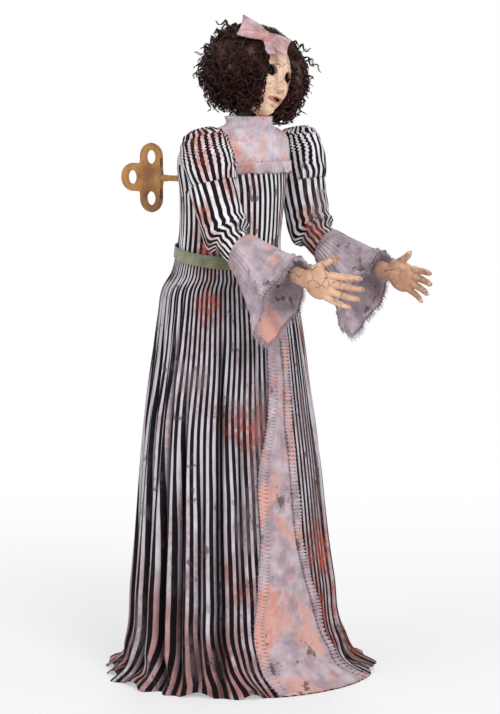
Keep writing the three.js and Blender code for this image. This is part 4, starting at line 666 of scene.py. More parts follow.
def skirt_relief(angle, z):
    """How far out the cloth lies: the deep folds, gathers under the belt that fade on their way
    down, and buckles where the hem lies on the floor."""
    gather = smooth(0.62, 0.93, z) * smooth(1.005, 0.955, z) + 0.15 * smooth(0.1, 0.4, z)
    pinch = np.sin(47 * angle + 2.2 * np.sin(3 * angle)) + 0.6 * np.sin(83 * angle + 1.7 + 3 * z)
    buckles = np.sin(15 * angle + 1.5 * np.sin(4 * angle)) + 0.5 * np.sin(29 * angle + 18 * z)
    out = 0.0016 * gather * pinch + 0.0065 * smooth(0.10, 0.01, z) * buckles
    return (out - deep_folds(angle, z)[0]) * off_panel(angle, z)


def skirt_sway(angle, z):
    """Sideways shift of the cloth as an angle: into the deep folds, and where the hem turns."""
    low = smooth(0.14, 0.004, z) * np.sin(3 * angle + 2.4)
    return (deep_folds(angle, z)[1] + 0.07 * low) * off_panel(angle, z)


HIP_ROOM = 0.014
# Rings of the hip form: height and scale
HIP_RINGS = [
    (0.9867, 0.10), (0.9867, 0.60), (0.9864, 0.88), (0.984, 0.95), (0.978, 0.985), (0.965, 1),
    (0.94, 1), (0.90, 1), (0.86, 1), (0.822, 1),
]


def hip_form():
    """Stands for the hip shell, drawn in from the skirt's oval so that it doesn't show through when
    the waist turns. It is smaller than the solid, and the skirt doesn't touch it."""
    z, scale = np.array(HIP_RINGS).T[:, :, None]
    points = on_skirt(full_turn(120), z, -HIP_ROOM)
    points[..., :2] *= scale[..., None]
    piece = surface("hip_form", points, PART_FINISHES["black_plastic"], True, flip=True)
    thicken(piece, 0.002)
    fit([piece], "black_plastic", "base", "hip_shell")


def dress_skirt():
    """Rows run from under the belt to the hem, columns round the doll."""
    z = skirt_rows(90)[:, None]
    angle = full_turn(540)
    height = z - tuck(angle, z)
    waves = np.maximum(0, np.sin(17 * angle + 2 * np.sin(3 * angle)))
    lift = 0.012 * smooth(0.03, 0.004, z) * waves * off_panel(angle, z)
    turn = angle + skirt_sway(angle, height)
    points = on_skirt(turn, height, skirt_relief(turn, height))
    points[..., 2] += lift
    uv = cloth_uv(points, True, SKIRT_STRIPES)
    even = cloth_uv(on_skirt(angle, np.array([[0.5], [0.4]])), True, SKIRT_STRIPES)
    uv[..., 0] = mix(even[:1, :, 0], uv[..., 0], 0.25)
    piece = surface("dress_skirt", points, SKIRT_CLOTH, True, uv, flip=True)
    # Depth of the fold valleys, which the cloth darkens as painted shade with grime
    fold_shade_and_grime = np.clip(deep_folds(turn, height)[0] / 0.012, 0, 1) * off_panel(turn, height)
    paint_mask(piece, "fold_shade_and_grime", fold_shade_and_grime)
    declare(points, True)
    thicken(piece, CLOTH)
    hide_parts("skirt")
    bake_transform(piece)


def panel_point(across, z, out):
    """A point over the skirt's front: across is -1 at the panel's right edge and 1 at its left."""
    half, x = follow(PANEL, z)
    height = z - tuck(-math.pi / 2, z)
    return on_skirt(front_angle(x + across * half, height), height, out)


def dress_panel():
    """Rows down the panel, columns across it: shallow creases that run down and spread."""
    z = skirt_rows(150, 0.0045)[:, None]
    across = np.linspace(-1, 1, 61)[None]
    crease = np.sin(7 * across + 3 * np.sin(4 * z)) * 0.5 + np.sin(13 * across + 9 * z + 1) * 0.3
    ripple = smooth(0.1, 0.02, z) * np.sin(16 * across + 50 * z) * 0.8
    out = PANEL_OUT + CLOTH + 0.0018 * (1 + (crease + ripple) * (1 - across**2))
    points = panel_point(across, z, out)
    piece = sheet("dress_front_panel", points, PANEL_CLOTH, False)
    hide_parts("front_panel")
    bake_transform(piece)


def dress_panel_trim(word, side):
    """A strip held along its middle over the panel's edge: fine pleats that grow to its two edges,
    a slow wander of the whole strip, and threads that have come loose at both edges."""
    z = skirt_rows(1300, 0.0050)[:, None]
    strip = np.linspace(-1, 1, 7)[None]
    half, x = follow(PANEL, z)
    height = z - tuck(-math.pi / 2, z)
    run = np.linspace(0, 1, len(z))[:, None]
    uneven = 4 * np.sin(17 * run + side) + 1.4 * np.sin(61 * run) + 0.9 * side * strip
    phase = TURN * TRIM_PLEATS * run + uneven
    edge = np.abs(strip) ** 1.2
    wave = 0.0036 * edge * (1 + np.sin(phase)) * (1 + 0.4 * np.sin(53 * run + 2 * side)) + 0.0004
    width = TRIM_WIDTH / 2 * (0.84 + 0.14 * np.sin(31 * run + 2 * side) + 0.16 * np.sin(phase))
    centre = x + side * half + 0.0040 * np.sin(23 * run + side) + 0.0015 * np.sin(phase)
    angle = front_angle(centre + strip * width, height)
    points = on_skirt(angle, height, PANEL_OUT + TRIM_OUT + wave)
    points[..., 2] = np.maximum(points[..., 2] + 0.0012 * np.cos(phase) * strip, 0.004)
    name = "dress_panel_trim_" + word
    piece = surface(name, points, PANEL_CLOTH, uv=cloth_uv(points, False), flip=True)
    thread = DARK_THREAD if side > 0 else PALE_THREAD
    loose = frayed(name, points, (0, -1), 900, 40 + side, 0.006, thread)
    declare(points, False)
    thicken(piece, 0.0007)
    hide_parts("panel_ruffle_" + word)
    for one in (piece, loose):
        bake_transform(one)


def frayed(name, points, columns, count, seed, long, finish):
    """Loose threads along edge columns of a strip: each leaves the edge outwards and bends."""
    rng = np.random.default_rng(seed)
    steps, found = 4, []
    grow = np.linspace(0, 1, steps)[None, :, None]
    for column in columns:
        row = rng.integers(0, len(points), count)
        inner = points[row, 1 if column == 0 else -2]
        root = points[row, column]
        away = unit(root - inner + rng.normal(0, 0.0012, (count, 3)))
        reach = rng.uniform(0.25, 1.0, count)[:, None, None] * long
        bend = rng.normal(0, 0.0012, (count, 1, 3)) * grow**2
        found.append(root[:, None] + away[:, None] * reach * grow + bend)
    paths = np.concatenate(found)
    paths[..., 2] = np.maximum(paths[..., 2], 0.002)
    radii = np.full((len(paths), 1), THREAD_R) * np.linspace(1, 0.5, steps)
    thread_points, faces = tubes(paths, radii, 3)
    return mesh_piece(name + "_threads", thread_points, faces, finish)


def on_torso(table, angle, z, out=0.0):
    """A point on the torso's oval, whose front and back halves have their own depths, with flat
    sides where the sleeves are set in."""
    a, front, back, cy = follow(table, z)
    depth = np.where(np.sin(angle) < 0, cy - front, back - cy)
    c, s = np.cos(angle), np.sin(angle)
    square = np.hypot(c / a, s / depth)
    x = a * c + out * c / a / square
    limit = mix(1.0, ARMHOLE_X + out, smooth(ARMHOLE_Z - 0.02, ARMHOLE_Z + 0.012, z))
    y = cy + depth * s + out * s / depth / square
    return np.stack([np.clip(x, -limit, limit), y, z + 0 * angle], -1)


def dress_bodice():
    """Rows from the yoke down to the belt: soft slanting folds, and gathers at the waist."""
    z = np.linspace(BODICE_TOP, BODICE_LOW, 60)[:, None]
    angle = full_turn(210)
    folds = np.sin(9 * angle + 12 * z) * smooth(1.2, 1.06, z) + 0.5 * np.sin(17 * angle - 14 * z)
    gather = smooth(1.1, 1.04, z) * np.sin(40 * angle + 2 * np.sin(3 * angle))
    height = z - (WAIST_Z + 0.03 - belt_line(angle)) * smooth(1.05, BODICE_LOW, z) * 0.6
    points = on_torso(BODICE, angle, np.maximum(height, 0.99), 0.0009 * folds + 0.0012 * gather)
    uv = cloth_uv(points, True, BODICE_STRIPES)
    piece = sheet("dress_bodice", points, STRIPED_CLOTH, uv=uv)
    fit([piece], "striped_cloth", "torso", "bodice")


def dress_yoke():
    """Rows from the top of the stand collar down over the shoulders to the bodice seam."""
    z = skirt_rows(68, YOKE_LOW, COLLAR_TOP, YOKE)[:, None]
    angle = full_turn(200)
    seams = smooth(1.285, 1.258, z) + smooth(1.335, 1.347, z)
    pucker = np.sin(26 * angle + 3 * np.sin(2 * angle)) * seams
    slack = np.sin(5 * angle + 40 * z) + 0.6 * np.sin(11 * angle - 60 * z)
    out = 0.0012 + 0.0007 * pucker + 0.0009 * slack * smooth(1.36, 1.33, z)
    points = on_torso(YOKE, angle, z, out)
    piece = sheet("dress_yoke", points, STAINED_CLOTH, thickness=0.0016)
    fit([piece], "stained_cloth", "torso", "yoke")


def dress_yoke_frill():
    """The pleated strip along the front of the yoke: pleats whose waves grow downwards to a
    frayed edge."""
    drop = np.linspace(0, FRILL_DROP, 14)[:, None]
    margin = math.acos((ARMHOLE_X - 0.004) / BUST_HALF_WIDTH)
    share = np.linspace(0, 1, 760)[None]
    angle = -math.pi + margin + (math.pi - 2 * margin) * share
    uneven = 3 * np.sin(17 * share) + 30 * drop * np.sin(40 * share)
    phase = TURN * FRILL_PLEATS * share + uneven
    grow = drop / FRILL_DROP
    wave = 0.0028 * grow**0.7 * np.sin(phase) + 0.0016 * np.sin(TURN * 7 * share) * grow
    ragged = 0.0016 * np.sin(TURN * 5 * share) + 0.0009 * np.sin(phase * 0.5)
    height = FRILL_TOP - drop + ragged * grow
    points = on_torso(BODICE, angle, height, FRILL_OUT + wave)
    piece = surface("dress_yoke_frill", points, STAINED_CLOTH, uv=cloth_uv(points, False), flip=True)
    edge = np.swapaxes(points, 0, 1)
    loose = frayed("dress_yoke_frill", edge, (-1,), 500, 47, 0.004, PALE_THREAD)
    declare(points, False)
    thicken(piece, 0.0008)
    fit([piece, loose], "stained_cloth", "torso", "yoke_ruffle")


def dress_belt():
    """A ribbon round the waist, with slight creases that slant along it."""
    share = np.linspace(0.5, -0.5, 13)[:, None]
    angle = full_turn(260)
    crease = np.sin(30 * share + 5 * angle) * 0.0007 + np.sin(9 * angle) * 0.0006
    height = belt_line(angle, share * (1 + 0.04 * np.sin(7 * angle)))
    points = on_skirt(angle, height, BELT_OUT + crease)
    piece = sheet("waist_ribbon", points, RIBBON)
    fit([piece], "ribbon", "torso", "belt")


# Arms: each link hangs along its own -Z from its joint and is turned forwards to its pose

BAR_Y, BAR_Z, ARM_X = -0.077, 1.295, 0.176
UPPER_LENGTH, FOREARM_LENGTH = 0.212, 0.240
UPPER_ANGLE = {"right": 18, "left": 12}
FOREARM_ANGLE, HAND_ANGLE = 68, 77
SLEEVE_R, FOREARM_R = 0.052, 0.037
SLEEVE_SAG, SLEEVE_INNER_X = 0.014, 0.1255
# Length of the sleeve's middle line above the elbow and below it
SLEEVE_ABOVE, SLEEVE_BELOW = 0.128, 0.076
# Where the cap and the sleeve change from one body to the next
CUFF_START, CUFF_SEAM_DROP, CUFF_REACH = 0.062, 0.006, 0.228
CUFF_TOP_Y, CUFF_BOTTOM_Y, CUFF_LIP_LEAN, CUFF_HALF_WIDTH = -0.036, 0.186, 0.024, 0.066
CUFF_STRIP_FROM, CUFF_PLEATS = 0.85, 96


def down_at(degrees):
    """Direction of a link that hangs at an angle forward of straight down."""
    return np.array([0, -math.sin(math.radians(degrees)), -math.cos(math.radians(degrees))])


def shoulder_at(side):
    """Place of a shoulder joint."""
    return np.array([side * ARM_X, BAR_Y, BAR_Z])


def elbow_at(word, side):
    """Place of an elbow at rest."""
    return shoulder_at(side) + UPPER_LENGTH * down_at(UPPER_ANGLE[word])


def wrist_at(word, side):
    """Place of a wrist at rest."""
    return elbow_at(word, side) + FOREARM_LENGTH * down_at(FOREARM_ANGLE)


def link(points, joint, degrees):
    """Points of a link's own frame, turned forwards and put at its joint."""
    return turned(points, (1, 0, 0), -degrees) + joint


SLEEVE_HEAD = [
    (-0.088, 0.0515, 0), (-0.078, 0.0555, 0), (-0.05, 0.0605, 0), (0.0, 0.0585, 0),
    (0.026, 0.050, 0), (0.042, 0.032, 0), (0.047, 0.012, 0), (0.0475, 0.0004, 0),
]
CAP_LOW, CAP_TOP = SLEEVE_HEAD[0][0], SLEEVE_HEAD[-1][0]


def sleeve_head(word, side):
    """The puffed cap: rings round the upper arm, gathered into the seam below it and the armhole
    seam beside it, with puckers that die out over the puff."""
    z = np.linspace(CAP_LOW, CAP_TOP, 80)[:, None]
    angle = full_turn(260)
    radius = follow(SLEEVE_HEAD, z)[0]
    seam = smooth(-0.045, -0.083, z)
    fine = np.sin(34 * angle + 2 * np.sin(3 * angle)) + 0.5 * np.sin(57 * angle)
    pucker = 0.0016 * seam * fine
    dents = 0.0026 * np.sin(5 * angle + 22 * z) * np.sin(52 * z + 2 * angle) * (1 - seam)
    inner = smooth(0.15, 0.75, -side * np.cos(angle))
    round_hole = np.arctan2(z + 0.01, np.sin(angle) * radius)
    pleats = np.sin(30 * round_hole + 3 * np.sin(2 * round_hole))
    gathers = 0.0048 * inner * pleats * smooth(-0.075, -0.05, z)
    crown = 0.0020 * smooth(-0.01, 0.03, z) * np.sin(26 * angle + 2 * np.sin(5 * angle))
    radius = radius + (pucker + dents + gathers + crown) * smooth(CAP_TOP, 0.036, z)
    x, y = radius * np.cos(angle), radius * np.sin(angle)
    armhole = (ARM_X - ARMHOLE_X) - 0.0006
    x = np.where(side * x < -armhole, -side * armhole, x)
    points = np.stack([x, y, z + 0 * angle], -1)
    points = link(points, shoulder_at(side), UPPER_ANGLE[word])
    name = "sleeve_cap_" + word
    uv = cloth_uv(points, True, SLEEVE_STRIPES + 3)
    piece = sheet(name, points, STRIPED_CLOTH, uv=uv, flip=False)
    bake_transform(piece)


def sleeve_run(share):
    """Distance along the sleeve from the elbow, negative above it."""
    return share * (SLEEVE_ABOVE + SLEEVE_BELOW) - SLEEVE_ABOVE


def sleeve_route(word, side, share):
    """Middle line of the sleeve from the seam under the puff, round the elbow, to the cuff: two
    straight runs with the corner between them rounded by a blend of both."""
    upper, fore = down_at(UPPER_ANGLE[word]), down_at(FOREARM_ANGLE)
    run = sleeve_run(share)
    corner = 0.018
    ease = np.sqrt(run**2 + corner**2)
    before, after = (run - ease) / 2 + corner / 2, (run + ease) / 2 - corner / 2
    sag = SLEEVE_SAG * smooth(0.0, 0.062, run)[..., None] * down_at(FOREARM_ANGLE - 90)
    return elbow_at(word, side) + before[..., None] * upper + after[..., None] * fore + sag


def sleeve_tube(word, side):
    """The striped sleeve: rings square to its middle line, loose down to a hem at the elbow and
    fitted below it, where its stripes start afresh, with folds inside the elbow."""
    share = np.linspace(0, 1, 104)
    centre = sleeve_route(word, side, share)
    ahead = unit(np.gradient(centre, axis=0))
    across = np.array([1.0, 0, 0])
    front = np.cross(ahead, across)
    angle = full_turn(180)[0]
    run = sleeve_run(share)[:, None]
    hem = smooth(0.006, 0.013, run)
    radius = mix(SLEEVE_R + 0.0015, FOREARM_R + 0.002, hem) - 0.002 * smooth(0.02, 0.06, run)
    radius = radius + 0.0022 * np.exp(-(((run - 0.002) / 0.007) ** 2))
    inside = 0.5 - 0.5 * np.cos(angle[None] + math.pi / 2)
    near = np.exp(-((run / 0.045) ** 2))
    folds = near * inside**2 * 0.0034 * np.sin(run * 190 + 0.8 * np.sin(2 * angle))
    drag = 0.0016 * np.sin(5 * angle + 40 * run + side) + 0.0012 * np.sin(3 * angle - 25 * run)
    gather = smooth(-0.085, -0.125, run) * 0.0014 * np.sin(30 * angle + 2 * np.sin(4 * angle))
    creases = 0.0007 * smooth(-0.12, -0.06, run) * np.sin(11 * angle - 70 * run)
    radius = radius + folds + drag + gather + creases
    c, s = np.cos(angle)[None, :, None], np.sin(angle)[None, :, None]
    points = centre[:, None] + (across * c + front[:, None] * s) * radius[..., None]
    points[..., 0] = side * np.maximum(side * points[..., 0], SLEEVE_INNER_X)
    name = "sleeve_" + word
    uv = cloth_uv(points, True, SLEEVE_STRIPES)
    uv[..., 0] += hem * 0.5
    piece = sheet(name, points, STRIPED_CLOTH, uv=uv)
    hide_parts("sleeve_upper_" + word, "sleeve_lower_" + word)
    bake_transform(piece)


def cuff_point(share, angle, out):
    """The bell in the forearm's own frame: an oval that widens and drops from the round seam to
    the long lip, whose lower side leans back."""
    seam = FOREARM_R + 0.003 + CUFF_SEAM_DROP
    ease = share**1.25
    middle, half = (CUFF_TOP_Y + CUFF_BOTTOM_Y) / 2, (CUFF_BOTTOM_Y - CUFF_TOP_Y) / 2
    c, s = np.cos(angle), np.sin(angle)
    x = (mix(seam, CUFF_HALF_WIDTH, ease) + out) * c
    y = mix(SLEEVE_SAG + CUFF_SEAM_DROP, middle, ease) + (mix(seam, half, ease) + out) * s
    z = -CUFF_START - (CUFF_REACH - CUFF_START) * share + CUFF_LIP_LEAN * share * (0.5 + 0.5 * s)
    return np.stack([x, y, z], -1)


def cuff_wave(share, angle):
    """How far the bell stands out: six deep waves at the lip, finer folds that start at the seam."""
    deep = 0.008 * share**2 * np.sin(6 * angle + 0.5 * np.sin(2 * angle))
    fine = 0.0024 * np.sin(17 * angle + 3 * share) * share + 0.0017 * (1 - share) * np.sin(37 * angle)
    return deep + fine


def cuff(word, side):
    """The bell from its seam to its lip, a pleated strip sewn round the lip and a frayed fringe."""
    share = np.linspace(0, 0.985, 54)[:, None]
    angle = full_turn(220)
    bell = on_forearm(cuff_point(share, angle, cuff_wave(share, angle)), word, side)
    piece = surface("bell_cuff_" + word, bell, CUFF_CLOTH, True, cloth_uv(bell, True))
    thicken(piece, CLOTH)

    share = np.linspace(CUFF_STRIP_FROM, 1.0, 12)[:, None]
    angle = full_turn(1080)
    over = (share - CUFF_STRIP_FROM) / (1 - CUFF_STRIP_FROM)
    height = 0.0034 * (0.25 + 0.75 * np.abs(2 * over - 0.8))
    pleats = 1 + np.sin(CUFF_PLEATS * angle + 3 * np.sin(5 * angle) + 1.5 * over)
    out = cuff_wave(share, angle) + 0.0015 + height * pleats
    points = on_forearm(cuff_point(share, angle, out), word, side)
    strip = surface("cuff_strip_" + word, points, CUFF_CLOTH, True, cloth_uv(points, True))
    thicken(strip, 0.0008)

    fringe = cuff_fringe(word, side)
    fit([piece, strip, fringe], "stained_cloth", "forearm_" + word, "cuff_" + word)
    declare(bell, True)
    declare(points, True)


def on_forearm(points, word, side):
    """Points of the forearm's own frame, put at the elbow."""
    return link(points, elbow_at(word, side), FOREARM_ANGLE)


def cuff_fringe(word, side):
    """Threads that leave the lip of a cuff, each with a bow of its own."""
    rng = np.random.default_rng(5 + side)
    count, steps = 900, 4
    turn = rng.uniform(0, TURN, count)
    reach = rng.uniform(0.004, 0.014, count)
    grow = np.linspace(0, 1, steps)
    lip = cuff_wave(1.0, turn)
    root = cuff_point(np.full(count, 0.995), turn, lip + 0.003)
    away = turn + rng.normal(0, 0.02, count)
    tip = cuff_point(1.0 + reach / 0.17, away, lip + rng.normal(0.003, 0.003, count))
    bow = np.stack([rng.normal(0, 0.0012, count) for _ in range(3)], -1)
    straight = root[:, None] + (tip - root)[:, None] * grow[:, None]
    paths = straight + bow[:, None] * np.sin(math.pi * grow)[:, None]
    radii = np.full((count, 1), FRINGE_R) * np.linspace(1, 0.5, steps)
    points, faces = tubes(on_forearm(paths, word, side), radii, 4)
    return mesh_piece("cuff_fringe_" + word, points, faces, PALE_THREAD)


# Fingers: place across the palm, radius, length and spread in degrees
FINGERS = [
    (-0.027, 0.0086, 0.072, -7), (-0.0095, 0.009, 0.082, -2), (0.0085, 0.0086, 0.076, 3),
    (0.0255, 0.0074, 0.060, 10),
]
THUMB = (-0.030, 0.0095, 0.058, -38)
CURL = 12


def finger_line(one, start, side):
    """Joints of a finger: three bones, each turned further towards the palm than the last."""
    y, _, length, spread = one
    points = [np.array([0, y, start])]
    for bone in (0.42, 0.32, 0.26):
        curl, lean = math.radians(len(points) * CURL), math.radians(spread)
        way = [-side * math.sin(curl), math.sin(lean), -math.cos(lean) * math.cos(curl)]
        points.append(points[-1] + bone * length * np.array(way))
    return np.array(points)


def ball_points(rows, columns):
    """Unit sphere as a grid, its poles closed by rings of almost no size."""
    rise = np.linspace(-math.pi / 2 + 0.01, math.pi / 2 - 0.01, rows)[:, None]
    turn = full_turn(columns)
    x, y = np.cos(rise) * np.cos(turn), np.cos(rise) * np.sin(turn)
    return np.stack([x, y, np.sin(rise) + 0 * turn], -1)


def solid_from(name, parts, voxel, rounds, material):
    """One skin round several closed grids that overlap: remeshed into cells and smoothed."""
    points, faces, start = [], [], 0
    for grid in parts:
        rows, columns = grid.shape[:2]
        flat = grid_faces(rows, columns, True)
        caps = [np.arange(columns)[::-1], (rows - 1) * columns + np.arange(columns)]
        points.append(grid.reshape(-1, 3))
        faces += [tuple(int(v) + start for v in face) for face in [*flat, *caps]]
        start += rows * columns
    mesh = bpy.data.meshes.new(name)
    mesh.from_pydata(np.concatenate(points).tolist(), [], faces)
    piece = bpy.data.objects.new(name, mesh)
    bpy.context.scene.collection.objects.link(piece)
    remesh = piece.modifiers.new("skin", "REMESH")
    remesh.mode, remesh.voxel_size = "VOXEL", voxel
    ease = piece.modifiers.new("ease", "SMOOTH")
    ease.factor, ease.iterations = 0.5, rounds
    shown = piece.evaluated_get(bpy.context.evaluated_depsgraph_get())
    made = bpy.data.meshes.new_from_object(shown)
    piece.modifiers.clear()
    piece.data = made
    made.name = name
    made.shade_smooth()
    made.materials.clear()
    made.materials.append(material)
    return piece


def limb(points, radii, flat=1.0, columns=14):
    """A grid round a line of points: rings square to it, with round ends."""
    points, radii = np.asarray(points, float), np.asarray(radii, float)
    run = np.concatenate([[0], np.cumsum(np.linalg.norm(np.diff(points, axis=0), axis=1))])
    fine = np.linspace(0, run[-1], 26)
    line = np.stack(follow(np.column_stack([run, points]), fine), -1)
    width = np.interp(fine, run, radii)
    ahead = unit(np.gradient(line, axis=0))
    cap = np.array([0.02, 0.45, 0.75, 0.93])
    lift = np.sqrt(1 - cap**2)
    head = line[0] - ahead[0] * (lift * width[0])[:, None]
    tail = (line[-1] + ahead[-1] * (lift * width[-1])[:, None])[::-1]
    line = np.concatenate([head, line, tail])
    width = np.concatenate([cap * width[0], width, (cap * width[-1])[::-1]])
    ahead = np.concatenate([np.repeat(ahead[:1], 4, 0), ahead, np.repeat(ahead[-1:], 4, 0)])
    side = unit(np.cross(ahead, [1.0, 0, 0]))
    other = np.cross(side, ahead)
    angle = np.arange(columns) * TURN / columns
    c, s = np.cos(angle)[None, :, None], np.sin(angle)[None, :, None]
    ring = side[:, None] * c + flat * other[:, None] * s
    return line[:, None] + ring * width[:, None, None]


def hand_finish():
    """The doll skin of the hands, browner than the face's."""
    tones = ("d8b095", "b48469", "c08468", "74492f")
    shader, colour, normal, rough = doll_skin("cracked_doll_hand", *tones)
    return shader.done(base_color=colour, normal=normal, roughness=rough)


def doll_hand(word, side):
    """Palm, wrist, four fingers and a thumb as one skin, with nails set into the fingers' backs."""
    lean = math.radians(HAND_ANGLE - FOREARM_ANGLE)
    toward = np.array([0, -math.sin(lean), math.cos(lean)])
    palm = ball_points(22, 28) * [0.0125, 0.0365, 0.043] + [0, 0, -0.060]
    heel = ball_points(16, 20) * [0.0145, 0.024, 0.026] + [-side * 0.002, -0.004, -0.036]
    mound = ball_points(14, 16) * [0.012, 0.014, 0.024] + [-side * 0.005, -0.022, -0.042]
    wrist = limb([toward * 0.010, [0, 0, -0.012], [0, 0, -0.036]], [0.0195, 0.0195, 0.023], 0.78, 20)
    parts = [palm, heel, mound, wrist]
    nails = []
    for one in [*FINGERS, THUMB]:
        thumb = one is THUMB
        line = finger_line(one, -0.038 if thumb else -0.086, side)
        radius = one[1] * np.array([1.06, 0.96, 0.86, 0.72])
        parts.append(limb(line, radius))
        for k in (1, 2):
            parts.append(ball_points(10, 12) * radius[k] * 1.08 + line[k])
        way = unit(line[3] - line[2])
        back = unit(np.cross(way, np.cross([side, 0, 0], way)))
        across = np.cross(way, back)
        turn = full_turn(24)
        ring = np.linspace(0.02, 1, 7)[:, None]
        sideways, along = ring * np.cos(turn), ring * np.sin(turn)
        dome = np.sqrt(np.clip(1 - 0.55 * sideways**2 - 0.12 * ring**8, 0, 1))
        r = radius[3]
        nails.append(
            line[3] + way * (0.002 + 0.62 * r * along[..., None])
            + across * (0.66 * r * sideways[..., None]) + back * (0.93 * r * dome[..., None])
        )
    at = wrist_at(word, side)
    parts = [link(part, at, HAND_ANGLE) for part in parts]
    hand = solid_from("doll_hand_" + word, parts, 0.0016, 5, HAND_SKIN)
    for index, nail in enumerate(nails):
        points = link(nail, at, HAND_ANGLE)
        piece = surface(f"nail_{word}_{index}", points, NAIL, True, flip=side > 0)
        thicken(piece, 0.0012)
        fit([piece], "doll_hand", "palm_" + word)
    fit([hand], "doll_hand", "palm_" + word, "hand_" + word)


# Head: upright in its own frame round the tilt pin, then leaned towards the left shoulder

NECK = np.array([0, -0.062, 1.4])
HEAD_LEAN = 18
FACE = np.array([0.0705, 0.074, 0.106])
FACE_CENTRE = np.array([0.003, -0.009, 0.070])
FLATNESS, UNDER_CHIN_Y = 2.7, -0.041
JAW_TAPER = 0.62
EYES = (0.032, 0.076, 0.0155, 0.0125)
MOUTH_AT = (0.0, 0.0105, 0.0140, 0.0042)
EYE_DEPTH, MOUTH_DEPTH = 0.013, 0.017
WIG, WIG_FRONT = np.array([0.147, 0.134, 0.118]), 0.122
WIG_CENTRE = np.array([0.009, 0.005, 0.087])
WINDOW = (0.054, 0.083, 0.062)
SHOULDER_TOP, SHOULDER_LIFT = 1.352, 0.8
BOW_AT = np.array([-0.079, -0.077, 0.145])
BOW_TURNS = (-32, 12, -38)


def head_place(points):
    """Points of the head's own frame, leaned and put on the neck."""
    return turned(points, (0, 1, 0), HEAD_LEAN) + NECK


def hump(x, z, at_x, at_z, wide, high):
    """A soft round hill of height 1 in the face's front view."""
    return np.exp(-(((x - at_x) / wide) ** 2) - ((z - at_z) / high) ** 2)


def oval(x, z, at_x, at_z, wide, high):
    """1 on an oval in the front view, less inside it and more outside it."""
    return np.sqrt(((x - at_x) / wide) ** 2 + ((z - at_z) / high) ** 2)


def pair(x, z, at_x, *shape):
    """The same hill on both sides of the face."""
    return hump(x, z, at_x, *shape) + hump(x, z, -at_x, *shape)


def round_eye(x, z, side):
    """1 on the rim of the eye on a side, less inside it and more outside it."""
    return oval(x, z, side * EYES[0], *EYES[1:])


def face_relief(x, z):
    """How far the features stand forward of the plain egg, as a sum of soft hills and dents."""
    ridge_wide = 0.0068 + 0.0022 * smooth(0.078, 0.045, z)
    ridge = np.exp(-((x / ridge_wide) ** 2)) * smooth(0.086, 0.048, z) * smooth(0.027, 0.036, z)
    nose = 0.0130 * ridge + 0.0085 * hump(x, z, 0, 0.0405, 0.0090, 0.0080)
    nose = nose + 0.0068 * pair(x, z, 0.0098, 0.0370, 0.0050, 0.0055)
    nostrils = -0.007 * pair(x, z, 0.0055, 0.0300, 0.0032, 0.0026)
    brow = 0.0042 * pair(x, z, 0.032, 0.096, 0.020, 0.007)
    socket = -0.0075 * pair(x, z, 0.030, 0.079, 0.017, 0.014)
    cheeks = 0.0062 * pair(x, z, 0.034, 0.036, 0.018, 0.018)
    upper = 0.5 + 0.5 * smooth(0.068, 0.08, z)
    rims = [np.exp(-(((round_eye(x, z, side) - 1.14) / 0.13) ** 2)) for side in (-1, 1)]
    lid = 0.0038 * sum(rims) * upper
    lip_line = np.exp(-(((oval(x, z, *MOUTH_AT) - 1.38) / 0.34) ** 2))
    lips = 0.0068 * lip_line * smooth(0.023, 0.015, np.abs(x))
    muzzle = 0.0080 * hump(x, z, 0, 0.012, 0.022, 0.019)
    groove = -0.0026 * hump(x, z, 0, 0.0255, 0.0030, 0.005)
    corners = -0.0030 * pair(x, z, 0.0195, 0.0105, 0.004, 0.005)
    under_lip = -0.0060 * hump(x, z, 0, -0.0070, 0.014, 0.005)
    chin = 0.0150 * hump(x, z, 0, -0.021, 0.017, 0.013)
    upper_face = nose + nostrils + brow + socket + cheeks + lid
    return upper_face + lips + muzzle + groove + corners + under_lip + chin


def face_openings(x, z):
    """Depth of the eye and mouth openings: steep-sided wells in the mask."""
    wells = [EYE_DEPTH * smooth(1.02, 0.86, round_eye(x, z, side)) for side in (-1, 1)]
    mouth = MOUTH_DEPTH * smooth(1.03, 0.82, oval(x, z, *MOUTH_AT))
    return np.maximum(np.maximum(*wells), mouth)


def doll_face():
    """The front half of an egg, flatter before than a ball and narrower at the jaw, as rows of
    latitude and columns of longitude, with features pushed forward and openings pushed in."""
    rise = np.linspace(-1.33, 1.35, 214)[:, None]
    turn = np.linspace(-math.pi + 0.02, -0.02, 220)[None]
    z = np.sin(rise) + 0 * turn
    narrow = 1 - JAW_TAPER * np.maximum(0, -z) ** 2
    c, s = np.cos(turn), np.sin(turn)
    square = (np.abs(c) ** FLATNESS + np.abs(s) ** FLATNESS) ** (-1 / FLATNESS)
    width = np.cos(rise)
    egg = np.stack([width * c * square * narrow, width * s * square, z], -1)
    points = egg * FACE + FACE_CENTRE
    px, pz = points[..., 0] - FACE_CENTRE[0], points[..., 2]
    front = smooth(0.1, -0.35, s) + 0 * rise
    jaw = smooth(-0.25, -0.8, z) * smooth(1.0, 0.5, np.abs(c))
    points[..., 1] -= (face_relief(px, pz) + 0.013 * jaw - face_openings(px, pz)) * front
    under = smooth(-0.80, -0.97, z)
    points[..., 1] = mix(points[..., 1], np.minimum(points[..., 1], UNDER_CHIN_Y), under)
    points = head_place(points)
    piece = surface("doll_face", points, FACE_SKIN)
    masks = {"hollow": face_openings(px, pz) / EYE_DEPTH, "lips": lip_mask(px, pz)}
    masks |= {"rim": rim_mask(px, pz), "shade": painted_shade_mask(px, pz)}
    for name, value in masks.items():
        paint_mask(piece, name, value * front)
    thicken(piece, 0.003)
    fit([piece], "doll_face", "head", "face_mask")


def lip_mask(x, z):
    """1 on the painted lips, 0 off them."""
    near = oval(x, z, *MOUTH_AT)
    return smooth(2.0, 1.6, near) * smooth(0.95, 1.05, near)


